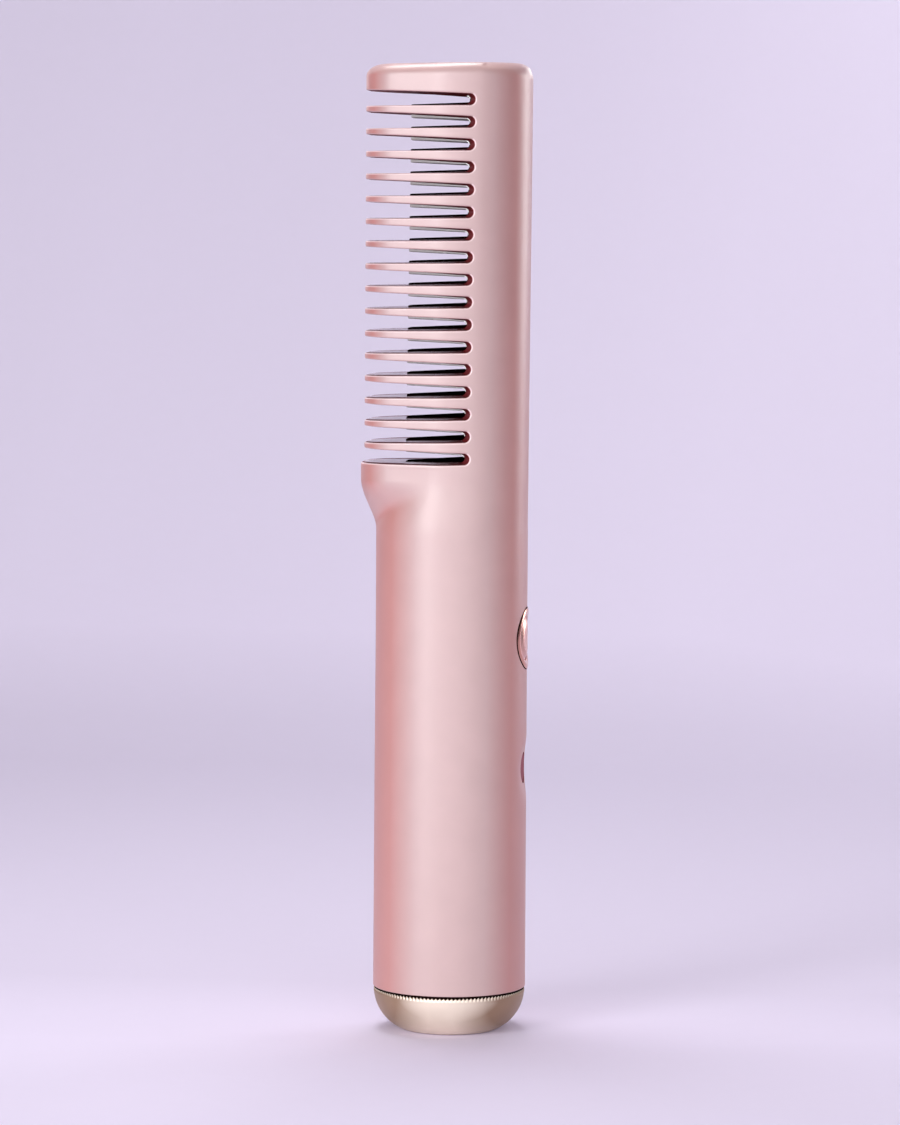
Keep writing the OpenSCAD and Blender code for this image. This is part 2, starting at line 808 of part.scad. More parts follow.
module heater_clamp() {
    color([0.70, 0.71, 0.73]) difference() {
        bar(clamp_x, heater_mid_z - clamp_l / 2, [clamp_t, clamp_w, clamp_l]);
        for (z = clamp_screw_z) along_x(clamp_x - 1, z) small_screw_hole(clamp_t + 2);
    }
}

module clamp_screws() {
    color([0.65, 0.65, 0.67]) for (z = clamp_screw_z)
        translate([clamp_back_x, 0, z]) rotate([0, -90, 0])
            small_screw(clamp_back_x - bar_back_x + clamp_thread_l);
}

// Two rails and an upper block round the heater stack, with legs that stand on the chassis
module comb_carrier() {
    r = spine_r - wall - part_gap;
    front_y = chord(r, bar_back_x - spine_cx);
    back_y = chord(r, carrier_back_x - spine_cx);
    window_top = heater_mid_z + clamp_l / 2 + clamp_window_gap;
    bridge = [bridge_t, carrier_window_w + 2 * eps, bridge_h];
    leg_z = top_deck_z + deck_t;
    color([0.13, 0.13, 0.14]) {
        difference() {
            translate([0, 0, carrier_low_z]) linear_extrude(carrier_top_z - carrier_low_z)
                polygon([[bar_back_x, -front_y], [carrier_back_x, -back_y],
                    [carrier_back_x, back_y], [bar_back_x, front_y]]);
            bar(0, 0, [far, carrier_window_w, window_top]);
        }
        bar(carrier_back_x - bridge[0], carrier_low_z, bridge);
        for (s = sides) translate([0, s * (carrier_leg_y + carrier_leg_d / 2), 0])
            bar(carrier_leg_x - carrier_leg_d / 2, leg_z,
                [carrier_leg_d, carrier_leg_d, carrier_low_z - leg_z + 1]);
    }
}

module thermal_fuse() {
    color([0.72, 0.62, 0.45]) translate([clamp_back_x + fuse_d / 2, 0, heater_mid_z - fuse_l]) {
        cylinder(d = fuse_d, h = fuse_l);
        translate([0, 0, -fuse_lead_l]) cylinder(d = fuse_lead_d, h = fuse_l + 2 * fuse_lead_l);
    }
}

module temperature_sensor() {
    color([0.60, 0.25, 0.12]) translate([sensor_x, sensor_y, sensor_z])
        cylinder(d = sensor_d, h = sensor_l);
}

module sensor_leads() {
    gate_x = board_front_x + thin_wire_d / 2 + part_gap;
    color([0.80, 0.78, 0.30]) for (s = sides) wire([
        [sensor_x, sensor_y + s * sensor_start_half, sensor_z],
        [sensor_x, sensor_y + s * sensor_start_half, carrier_low_z],
        [gate_x, sensor_lead_y + s * sensor_run_half, carrier_low_z - lead_bend_h],
        [gate_x, sensor_lead_y + s * sensor_run_half, top_deck_z],
        [board_front_x + thin_wire_d / 2, sensor_lead_y + s * sensor_run_half,
            board_high_z - lead_end_h]],
        thin_wire_d);
}

module heater_leads() {
    gate_x = board_front_x + wire_d / 2 + wire_rest;
    start_x = bar_back_x + wire_d / 2 + wire_rest / 2;
    start_y = clamp_boss_d / 2 + wire_d / 2 + 2 * wire_rest;
    color([0.75, 0.10, 0.08]) for (s = sides) wire([
        [start_x, s * start_y, heater_mid_z - heater_l / 2],
        [start_x, s * start_y, carrier_low_z],
        [gate_x, s * heater_lead_y, carrier_low_z - lead_bend_h],
        [gate_x, s * heater_lead_y, top_deck_z],
        [board_front_x + wire_d / 2, s * heater_lead_y, board_high_z - lead_end_h]], wire_d);
}

// ---------------------------------------------------------------- chassis, cell and boards

module deck(z) {
    translate([0, 0, z]) difference() {
        cylinder(r = deck_r, h = deck_t);
        translate([cable_gate_x, -cable_gate_y, -1]) cube([far, 2 * cable_gate_y, deck_t + 2]);
    }
}

// A holder that reaches round the cell from the plate
module cradle() {
    hold_r = cell_d / 2 + cell_fit;
    difference() {
        intersection() {
            translate([cell_x, 0, 0]) cylinder(r = hold_r + cradle_t, h = cradle_h);
            bar(cell_x - cradle_reach, 0, [plate_back_x - cell_x + cradle_reach + eps, far, cradle_h]);
        }
        translate([cell_x, 0, -1]) cylinder(r = hold_r, h = cradle_h + 2);
    }
}

// Where the board's four screws sit
module at_board_screws(x) {
    for (s = sides, z = board_screw_z) along_x(x, z, s * board_screw_y) children();
}

// Two decks, the plate behind the board, the cell's cradles, and the ear for the case screws
module chassis() {
    post_low_z = cap_h + plug_floor_t;
    ear_low_x = ear_screw_x[0] - ear_end;
    color([0.20, 0.20, 0.22]) difference() {
        union() {
            deck(deck_z);
            deck(top_deck_z);
            bar(plate_back_x, deck_z + eps, [plate_t, 2 * plate_y, top_deck_z - deck_z]);
            for (z = cradle_z) translate([0, 0, z]) cradle();
            at_board_screws(plate_front_x - eps) cylinder(d = standoff_d, h = standoff_h + eps);
            for (s = sides) translate([0, s * post_y, post_low_z])
                cylinder(d = post_d, h = deck_z - post_low_z + eps);
            translate([ear_low_x, ear_y, ear_z - ear_h / 2])
                cube([plate_back_x - ear_low_x + eps, deck_t, ear_h]);
        }
        for (s = sides) translate([0, s * post_y, cap_h]) case_screw_hole(plug_screw_l + 1);
        for (x = ear_screw_x)
            translate([x, 0, ear_z]) rotate([-90, 0, 0]) case_screw_hole(ear_y + deck_t + 1);
        at_board_screws(plate_back_x - 1) small_screw_hole(plate_t + standoff_h + 2);
        bar(plate_back_x - 1, cell_top_z + lead_window_gap, [plate_t + 2, window_w, lead_window_h]);
        bar(plate_back_x - 1, deck_z + deck_t, [plate_t + 2, window_w, window_h]);
    }
}

module chassis_screws() {
    color([0.65, 0.65, 0.67]) for (x = ear_screw_x)
        translate([x, ear_y, ear_z]) rotate([-90, 0, 0]) case_screw(deck_t + case_thread_l);
}

module battery_cell() {
    color([0.16, 0.33, 0.62]) translate([cell_x, 0, cell_z]) difference() {
        cylinder(d = cell_d, h = cell_l);
        translate([0, 0, cell_l - cell_groove]) difference() {
            cylinder(d = cell_d - 2 * cell_ring_t, h = 1);
            translate([0, 0, -1]) cylinder(d = cell_cap_d, h = 3);
        }
    }
}

// The upper tab ends at the plate and the lower one passes through it
module battery_tabs() {
    start_x = cell_x - tab_reach;
    upper_end_x = plate_back_x - tab_end_gap;
    color([0.80, 0.80, 0.78]) {
        bar(start_x, cell_top_z, [upper_end_x - start_x, tab_w, tab_t]);
        bar(start_x, cell_z - tab_t, [plate_front_x - start_x, tab_w, tab_t]);
    }
}

module battery_leads() {
    run_x = plate_front_x + strand_d / 2;
    color([0.10, 0.10, 0.10]) {
        wire([[plate_back_x - tab_lead_start, 0, cell_top_z + tab_t + wire_d / 2],
            [plate_back_x + tab_lead_mid, 0, cell_top_z + tab_lead_rise],
            [board_back_x - wire_d / 2, 0, cell_top_z + tab_lead_top]], strand_d);
        wire([[run_x, 0, cell_z - tab_t],
            [run_x, 0, cell_z + low_lead_rise],
            [run_x, 0, board_low_z + lead_end_h]], strand_d);
    }
}

module main_board() {
    color([0.05, 0.30, 0.16]) difference() {
        bar(board_back_x, board_low_z, [board_t, 2 * board_y, board_high_z - board_low_z]);
        at_board_screws(board_back_x - 1) small_screw_hole(board_t + 2);
    }
}

module board_screws() {
    color([0.65, 0.65, 0.67]) at_board_screws(board_front_x)
        rotate([180, 0, 0]) small_screw(board_t + standoff_h + plate_t);
}

module tact_switch() {
    color([0.22, 0.22, 0.23]) difference() {
        bar(board_front_x, button_z - switch_w / 2, [switch_h, switch_w, switch_w]);
        along_x(board_front_x + switch_floor_t, button_z)
            cylinder(d = stem_d + 2 * stem_fit, h = far);
    }
}

module switch_stem() {
    low_x = board_front_x + button_travel + stem_lift;
    color([0.85, 0.55, 0.15])
        along_x(low_x, button_z) cylinder(d = stem_d, h = stem_top_x - low_x);
}

module power_inductor() {
    z = board_low_z + inductor_past;
    color([0.30, 0.30, 0.32]) difference() {
        bar(board_front_x, z, [inductor_h, inductor_w, inductor_w]);
        along_x(board_front_x + inductor_h - inductor_groove, z + inductor_w / 2)
            cylinder(d = inductor_w - 2 * inductor_rim, h = 1);
    }
}

module capacitors() {
    color([0.70, 0.58, 0.42]) for (i = [0:3])
        translate([0, (i - 1.5) * capacitor_spacing, 0])
            bar(board_front_x, board_high_z - capacitor_past, [capacitor_h, capacitor_w, capacitor_l]);
}

module charge_leads() {
    run_x = board_front_x + wire_d / 2 + wire_rest;
    color([0.75, 0.10, 0.08]) for (s = sides) wire([
        [wire_hole_x, wire_hole_y + s * charge_lead_half, cap_h],
        [wire_hole_x, wire_hole_y + s * charge_lead_half, cap_h + charge_lead_rise],
        [run_x, s * charge_lead_y, deck_z - deck_t],
        [run_x, s * charge_lead_y, board_low_z - lead_end_h],
        [board_front_x + wire_d / 2, s * charge_lead_y, board_low_z + lead_end_h]], strand_d);
}

front_shell();
rear_shell();
base_cap();
end_plug();
button_ring();
power_button();
display_lens();
heating_comb();
comb_carrier();
heater_element();
insulation_strip();
heater_clamp();
clamp_screws();
thermal_fuse();
temperature_sensor();
sensor_leads();
heater_leads();
chassis();
chassis_screws();
battery_cell();
battery_tabs();
battery_leads();
main_board();
board_screws();
tact_switch();
switch_stem();
display_module();
power_inductor();
capacitors();
charge_board();
usb_socket();
charge_board_screws();
plug_screws();
charge_leads();
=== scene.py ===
"""Cordless hot comb: satin rose shells, champagne foot cap, rose gold button and a heated metal comb."""
import math

import bmesh
import bpy
import numpy as np
from mathutils import Matrix, Vector


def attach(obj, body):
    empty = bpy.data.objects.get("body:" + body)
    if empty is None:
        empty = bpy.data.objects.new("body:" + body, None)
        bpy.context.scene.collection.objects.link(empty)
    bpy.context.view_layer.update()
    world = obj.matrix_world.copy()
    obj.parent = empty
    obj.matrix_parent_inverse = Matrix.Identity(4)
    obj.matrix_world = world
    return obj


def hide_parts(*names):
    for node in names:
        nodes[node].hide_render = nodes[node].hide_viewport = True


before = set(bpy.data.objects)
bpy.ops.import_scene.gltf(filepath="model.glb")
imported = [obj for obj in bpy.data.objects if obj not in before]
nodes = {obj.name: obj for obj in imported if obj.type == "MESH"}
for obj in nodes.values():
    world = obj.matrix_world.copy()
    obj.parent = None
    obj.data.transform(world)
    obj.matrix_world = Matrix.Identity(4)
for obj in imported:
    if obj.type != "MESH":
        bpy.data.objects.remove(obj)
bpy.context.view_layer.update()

# ------------------------------------------------------------------ sizes of the part, in millimetres

MM = 0.001
WELD = 0.0015                          # points closer than this are one
DEGENERATE = 0.001                     # edges shorter than this are dropped
HANDLE_R = 18.2
WALL = 2.0
SEAM_Z = 10.3                          # lower end of the shells
RIM_R = 0.2                            # rounding of the shells' lower end
HANDLE_TOP_Z = 119.0
BAND_Z = 131.9                         # the neck has its full section from here on
SHOULDER_Z = 135.7
TOTAL_H = 230.3
TOP_Z = 230.1                          # the lacquered top at the spine, just inside the solid
TOP_FALL = math.tan(math.radians(0.75))
CEILING_Z = 226.9                      # top of the hollow in the head

TIP_X = -20.4
SPINE_X = 18.6
SPINE = (SPINE_X - 17.6, 17.6)         # centre x and radius of the head's spine
HEAD_TIP = (-10.9, 5.1, 9.5)           # x, y and radius of the tips' corner discs
SHOULDER_END = (-10.4, 3.5, 11.0)      # the same of the shoulder's corners
OUTLINE_BLUR = 1.7                     # length over which the head's outline changes its curvature
NECK_BLUR = 2.2

SLOTS = 17
SLOT_ROOT_R = 1.36
FIRST_SLOT_Z = SHOULDER_Z + 1.5
LAST_SLOT_Z = TOTAL_H - 9.06
PITCH = (LAST_SLOT_Z - FIRST_SLOT_Z) / (SLOTS - 1)
SLOT_ARC_X = 6.5 - SLOT_ROOT_R
SLOT_WIDEN = 0.59 / 25.4
EDGE_R = 0.3                           # rounding of the slots' edges
DRAFT_TIP = 0.12                       # how much the slots narrow inwards, at the tips and the root
DRAFT_ROOT = 0.4
INNER_ARC_X = 3.75                     # where the slots' inner edge turns round
CELL_END_X = 8.5                       # the face round a slot's end is built as far as here
POCKET_Y = -12.15                      # depth of the pocket for the metal comb's bar
POCKET_TIP = (-10.15, -4.15)           # x and y of that pocket at the metal tips

TIP_FAN = 0.5                          # how much higher the uppermost tips lie than their roots
FAN_END_Z = 229.0
HEAD_SETTLE = 0.2                      # how much lower the lacquered head lies at its top
ROOT_LEAN = 0.88                       # how far the slots' closed ends lean back over the head's height
# heights, and how far the spine's side and the handle's teeth side are moved along X there
SPINE_DRAWN_IN = ((10.3, 94, 119, 124, 129, 135.7, 219.24), (0, -0.18, -0.19, -0.36, -0.55, -0.58, -0.2))
HANDLE_LEFT_IN = ((10.3, 60, 94, 119, 125), (0, 0.03, 0.15, 0.12, 0))

METAL_TIP_X = -10.4
METAL_TIP_R = 0.8
METAL_TIP_Y = 4.0
METAL_ROOT_R = 0.46
METAL_ARC_X = 4.2 - METAL_ROOT_R
METAL_WIDEN = 0.7 / 13.6
METAL_WEDGE_END_X = 4.2
METAL_CELL_X = 6.2                     # the bar's face round a slot's end is built as far as here
METAL_BAR_Y = 12.0
METAL_BACK_X = 9.1
METAL_BACK_R = 0.6
METAL_LOW_Z = 133.85
METAL_TOP_Z = 224.75
UNDERSIDE_CROWN = 0.25                 # how much the teeth's undersides bulge
CROWN_REACH = 0.72                     # share of a tooth's half depth that its crown takes

BUTTON_Z = 94.0
RING_R = 7.35
RING_BORE_R = 5.3
BUTTON_R = 5.22
BUTTON_LIP_R = 6.02
DISPLAY_Z = 63.0
LENS_R = 3.6
LENS_SET_IN = 0.3                      # how deep the lens lies under the dish's floor
DISH_LONG = 8.3
DISH_WIDE = 7.2
DISH_DEPTH = 0.6
DISH_SLOPE = 0.62                      # share of the dish's radius that its slope takes
HOLE_FIT = 0.05                        # play round the ring and the lens
HOLE_EDGE_R = 0.12                     # rounding of those holes' edges
CELL_HALF_H = 10.0                     # half height of the shell's field round the display and the button

CAP_H = 9.9
CAP_R = HANDLE_R - 0.15
CAP_WALL = 1.6
FOOT_R = 11.2
SERRATIONS = 120
NOTCH_DEPTH = 0.42
BAND_H = 0.95                          # height of the serrated band
SOCKET_W = 9.34
SOCKET_T = 3.66


# ------------------------------------------------------------------ mesh helpers

class Sheets:
    """Collects grids of points that share their edges, and joins them into one mesh."""

    def __init__(self):
        self.points = []
        self.faces = []
        self.finishes = []

    def grid(self, rows, finish=0, changes=(), pick=None):
        """Quads over rows of points in millimetres; each change (row, finish) holds from that row on,
        and pick(row, column), when given, names the finish of each face."""
        rows = np.asarray(rows, float)
        n, m = rows.shape[:2]
        base = len(self.points)
        self.points.extend(map(tuple, rows.reshape(-1, 3)))
        changes = dict(changes)
        for j in range(n - 1):
            finish = changes.get(j, finish)
            for i in range(m - 1):
                a = base + j * m + i
                self.faces.append((a, a + 1, a + m + 1, a + m))
                self.finishes.append(pick(j, i) if pick else finish)

    def fan(self, centre, ring, finish=0):
        """Triangles from one point to a line of points."""
        base = len(self.points)
        self.points.append(tuple(centre))
        self.points.extend(tuple(p) for p in ring)
        for i in range(len(ring) - 1):
            self.faces.append((base, base + 1 + i, base + 2 + i))
            self.finishes.append(finish)

    def mirrored(self):
        """Adds the mirror image across the middle plane."""
        base = len(self.points)
        self.points.extend((x, -y, z) for x, y, z in list(self.points))
        self.faces.extend(tuple(base + v for v in reversed(f)) for f in list(self.faces))
        self.finishes.extend(list(self.finishes))
        return self

    def build(self, name, crease=38):
        """Welds the points, turns the faces outwards and smooths what isn't a corner."""
        bm = bmesh.new()
        made = [bm.verts.new((x * MM, y * MM, z * MM)) for x, y, z in self.points]
        for f, finish in zip(self.faces, self.finishes):
            bm.faces.new([made[v] for v in f]).material_index = finish
        bmesh.ops.remove_doubles(bm, verts=bm.verts, dist=WELD * MM)
        bmesh.ops.dissolve_degenerate(bm, edges=bm.edges, dist=DEGENERATE * MM)
        bmesh.ops.recalc_face_normals(bm, faces=bm.faces)
        return finish_mesh(bm, name, crease)


def finish_mesh(bm, name, crease=38):
    """Smooth shading with sharp corners, weighted by face size so that flats stay flat."""
    for face in bm.faces:
        face.smooth = True
    for edge in bm.edges:
        if len(edge.link_faces) == 2 and edge.calc_face_angle(0) > math.radians(crease):
            edge.smooth = False
    mesh = bpy.data.meshes.new(name)
    bm.to_mesh(mesh)
    bm.free()
    piece = bpy.data.objects.new(name, mesh)
    bpy.context.scene.collection.objects.link(piece)
    weighted = piece.modifiers.new("even_normals", "WEIGHTED_NORMAL")
    weighted.keep_sharp = True
    weighted.weight = 50
    return piece


def ease(t):
    return t * t * (3 - 2 * t)


def rounding(radius, steps):
    """Depth under the face, and distance left to the edge, at each step round a rounded edge."""
    angles = [math.pi / 2 * q / steps for q in range(1, steps + 1)]
    return [(radius * (1 - math.cos(a)), radius * (1 - math.sin(a))) for a in angles]


def border_round(side, low_z, high_z, steps):
    """A rectangle's border: along its low edge, up its far side and back along its high edge."""
    return ([(a, low_z) for a in side[:-1]]
            + [(side[-1], low_z + (high_z - low_z) * i / steps) for i in range(steps)]
            + [(a, high_z) for a in reversed(side)])


def half_turn(border, scale=1.0):
    """Angles of a half circle from its low to its high end, spread like the lengths along a border."""
    steps = [math.hypot(scale * (b[0] - a[0]), b[1] - a[1]) for a, b in zip(border, border[1:])]
    lengths = np.concatenate([[0], np.cumsum(steps)])
    return -np.pi / 2 + np.pi * lengths / lengths[-1]


# ------------------------------------------------------------------ outlines of the shells

class Outline:
    """Half outline of a section, from the teeth's side to the spine's side over the front."""

    def __init__(self, spine, end):
        self.sx, self.R = spine
        self.ex, self.ey, self.er = end
        apart = math.hypot(self.sx - self.ex, self.ey)
        lean = math.atan2(self.ey, self.sx - self.ex)
        turn = math.acos(min(1.0, (self.R - self.er) / apart))
        self.tangent = math.pi + lean + turn

    def end_point(self, a):
        return (self.ex + self.er * math.cos(a), -self.ey + self.er * math.sin(a), math.cos(a), math.sin(a))

    def spine_point(self, a):
        return (self.sx + self.R * math.cos(a), self.R * math.sin(a), math.cos(a), math.sin(a))

    def angle_at(self, x):
        """Angle on the spine disc, on the front half, at x."""
        return 2 * math.pi - math.acos((x - self.sx) / self.R)

    def columns(self, counts, xs):
        """Stations with given counts: nose flat, nose arc, wedge flat, then arcs between the xs."""
        out = [(self.ex - self.er, -self.ey * i / counts[0], -1.0, 0.0) for i in range(counts[0])]
        out += [self.end_point(math.pi + (self.tangent - math.pi) * i / counts[1]) for i in range(counts[1])]
        a, b = np.array(self.end_point(self.tangent)), np.array(self.spine_point(self.tangent))
        out += [tuple(a + (b - a) * i / counts[2]) for i in range(counts[2])]
        angles = [self.tangent] + [self.angle_at(x) for x in xs] + [2 * math.pi]
        for (low, high), n in zip(zip(angles, angles[1:]), counts[3:]):
            out += [self.spine_point(low + (high - low) * i / n) for i in range(n)]
        out.append(self.spine_point(2 * math.pi))
        out = np.array(out)
        exact, eased, _ = self.dense()
        for k in range(sum(counts[:4])):
            apart = np.hypot(*(exact - out[k, :2]).T)
            out[k] = eased[int(np.argmin(apart))]
        return out

    def dense(self, step=0.05, blur=OUTLINE_BLUR):
        """The half outline as points a step apart, then with its change of curvature eased
        over the blur, with normals, and each point's share of the whole length."""
        out = [(self.ex - self.er, -self.ey * i / 20) for i in range(20)]
        out += [self.end_point(a)[:2] for a in np.linspace(math.pi, self.tangent, 400)]
        out += [self.spine_point(a)[:2] for a in np.linspace(self.tangent, 2 * math.pi, 1200)]
        out = np.array(out)
        along = np.concatenate([[0], np.cumsum(np.hypot(*np.diff(out, axis=0).T))])
        n = int(along[-1] / step) + 1
        at = np.linspace(0, along[-1], n)
        exact = np.column_stack([np.interp(at, along, out[:, 0]), np.interp(at, along, out[:, 1])])
        reach = int(4 * blur / step)
        flip = np.array([1, -1])
        longer = np.concatenate([exact[1:reach + 2][::-1] * flip, exact, exact[-reach - 2:-1][::-1] * flip])
        weights = np.exp(-0.5 * (np.arange(-reach, reach + 1) * step / blur) ** 2)
        weights /= weights.sum()
        soft = np.column_stack([np.convolve(longer[:, i], weights, "valid") for i in range(2)])
        bend = (soft[2:] - 2 * soft[1:-1] + soft[:-2]) / (at[1] - at[0]) ** 2
        eased = soft[1:-1] - bend * blur ** 2 / 2
        heading = np.gradient(eased, axis=0)
        heading /= np.hypot(*heading.T)[:, None]
        heading[0], heading[-1] = (0, -1), (0, 1)
        return exact, np.column_stack([eased, heading[:, 1], -heading[:, 0]]), at / at[-1]


# stations on the nose's flat, its corner, the wedge, then the spine up to the slots' round ends,
# up to the end of the face round them, and on to its back
COUNTS = (3, 14, 6, 14, 5, 26)
head_outline = Outline(SPINE, HEAD_TIP)
shoulder_outline = Outline(SPINE, SHOULDER_END)
head_columns = head_outline.columns(COUNTS, (SLOT_ARC_X, CELL_END_X))
shoulder_columns = shoulder_outline.columns(COUNTS, (SLOT_ARC_X, CELL_END_X))
LAST = len(head_columns) - 1
ARC_COLUMN = sum(COUNTS[:4])
CELL_COLUMN = sum(COUNTS[:5])
handle_angles = np.pi + np.pi * np.arange(LAST + 1) / LAST


def arc_shares(columns):
    """How far along the outline each station lies, as a share of its length."""
    steps = np.hypot(*np.diff(columns[:, :2], axis=0).T)
    share = np.concatenate([[0], np.cumsum(steps)])
    return share / share[-1]


shoulder_shares = arc_shares(shoulder_columns)


def neck_columns(t):
    """Stations of the section at share t of the swell from handle to shoulder."""
    if t >= 1:
        return shoulder_columns
    if t <= 0:
        return np.stack([HANDLE_R * np.cos(handle_angles), HANDLE_R * np.sin(handle_angles),
                         np.cos(handle_angles), np.sin(handle_angles)], axis=1)
    start_r = HANDLE_R + SHOULDER_END[0]
    end_r = start_r + (SHOULDER_END[2] - start_r) * t
    section = Outline((SPINE[0] * t, HANDLE_R + (SPINE[1] - HANDLE_R) * t),
                      (SHOULDER_END[0], SHOULDER_END[1] * t, end_r))
    _, eased, along = section.dense(step=0.1, blur=NECK_BLUR)
    shares = (1 - ease(t)) * np.arange(LAST + 1) / LAST + ease(t) * shoulder_shares
    out = np.stack([np.interp(shares, along, eased[:, i]) for i in range(4)], axis=1)
    out[:, 2:] /= np.hypot(out[:, 2], out[:, 3])[:, None]
    return out


def row_at(columns, z, inset=0.0):
    """Points of a ring of stations at height z, moved inwards by inset."""
    return np.stack([columns[:, 0] - columns[:, 2] * inset, columns[:, 1] - columns[:, 3] * inset,
                     np.full(len(columns), float(z))], axis=1)


def pocket_y(x):
    """Depth of the shell's inner side in front of the metal comb."""
    tip_x, tip_y = POCKET_TIP
    share = (x - tip_x) / (METAL_WEDGE_END_X - tip_x)
    return POCKET_Y if x >= METAL_WEDGE_END_X else tip_y + (POCKET_Y - tip_y) * share


def draft(x):
    """How much narrower a slot is at its inner edge than at the face."""
    share = np.clip((x + 10) / (SLOT_ARC_X + 10), 0, 1)
    return DRAFT_TIP + (DRAFT_ROOT - DRAFT_TIP) * share


def inner_cell_x(x):
    """Behind the slots' round ends the inner side is stretched back over the metal comb's bar."""
    return INNER_ARC_X + (x - SLOT_ARC_X) * (CELL_END_X - INNER_ARC_X) / (CELL_END_X - SLOT_ARC_X)


def pocket_points(columns):
    """Where the shell's inner side lies behind each station of the head: the teeth's middle plane,
    the wedge that holds the metal comb, then the hollow spine."""
    out = []
    for k, (x, y, nx, ny) in enumerate(columns):
        if k <= sum(COUNTS[:2]):
            qx, qy = max(columns[0][0] + 0.35 + 0.12 * k, min(x, -10.4)), 0.0
        elif x < POCKET_TIP[0]:
            qx, qy = x, 0.0
        elif k <= ARC_COLUMN:
            qx = x - (SLOT_ARC_X - INNER_ARC_X) * ease(max(0.0, (x + 5) / (SLOT_ARC_X + 5)))
            qy = pocket_y(qx)
        elif k <= CELL_COLUMN:
            qx, qy = inner_cell_x(x), POCKET_Y
        else:
            qx, qy = x - WALL * nx, y - WALL * ny
        out.append((qx, min(qy, 0.0)))
    return np.array(out)


head_pocket = pocket_points(head_columns)
shoulder_pocket = pocket_points(shoulder_columns)


def flat_row(points, z):
    return np.column_stack([points, np.full(len(points), float(z))])


def slot_half(x):
    """Half height of a slot at x, up to where its round end starts."""
    return SLOT_ROOT_R + SLOT_WIDEN * (SLOT_ARC_X - x)


# ------------------------------------------------------------------ the two shells

FACE_ROWS = 3
ROUND_ROWS = 4
WALL_ROWS = 3
END_ROWS = 6
HOLE_ROWS = 9
# the row from which the slots' walls get the dark painted shade
SHADE_ROW = FACE_ROWS + ROUND_ROWS
# the shells' finishes, in the order in which dress() gives them: the lacquer, a dark painted shade for the
# slots and holes, painted light and shade on the teeth's upper sides, and a painted highlight on the slots'
# edges
LACQUER, PAINTED_SHADE_ROSE, TOOTH_TOPS_PAINTED, EDGE_HIGHLIGHT_FINISH = range(4)
EDGE_HIGHLIGHT_REACH = 0.9                 # how far up the slots' round ends the painted edge highlight goes, in radians


def slot_side(sheets, columns, pocket, z_mid, z_edge, side):
    """One side of a slot along the straight teeth: face, rounded edge, wall and inner side."""
    cols, pock = columns[:ARC_COLUMN + 1], pocket[:ARC_COLUMN + 1]
    rows = []
    for j in range(FACE_ROWS + 1):
        z = z_mid + (z_edge - side * EDGE_R - z_mid) * j / FACE_ROWS
        rows.append(np.column_stack([cols[:, :2], z]))
    for depth, left in rounding(EDGE_R, ROUND_ROWS):
        rows.append(np.column_stack([cols[:, :2] - cols[:, 2:] * depth, z_edge - side * left]))
    last = rows[-1]
    z_inner = z_edge + side * draft(cols[:, 0])
    goal = np.column_stack([pock, z_inner])
    for w in range(1, WALL_ROWS + 1):
        rows.append(last + (goal - last) * w / WALL_ROWS)
    inner = [np.column_stack([pock, z_mid + (z_inner - z_mid) * j / FACE_ROWS])
             for j in range(FACE_ROWS, -1, -1)]
    # a slot's lower side: painted edge highlight on the rounded edge, painted shade on the wall's first row,
    # then the teeth's painted light and shade; the upper side's wall is painted shade
    if side > 0:
        sheets.grid(rows, changes=[(FACE_ROWS, EDGE_HIGHLIGHT_FINISH), (SHADE_ROW, PAINTED_SHADE_ROSE), (SHADE_ROW + 1, TOOTH_TOPS_PAINTED)])
    else:
        sheets.grid(rows, changes=[(SHADE_ROW, PAINTED_SHADE_ROSE)])
    sheets.grid(inner, finish=PAINTED_SHADE_ROSE)
    outer_edge = [r[0] for r in rows]
    inner_edge = [r[0] for r in inner]
    sheets.grid([outer_edge[:FACE_ROWS + 1], inner_edge[::-1]])
    sheets.fan(inner_edge[0], outer_edge[FACE_ROWS:])


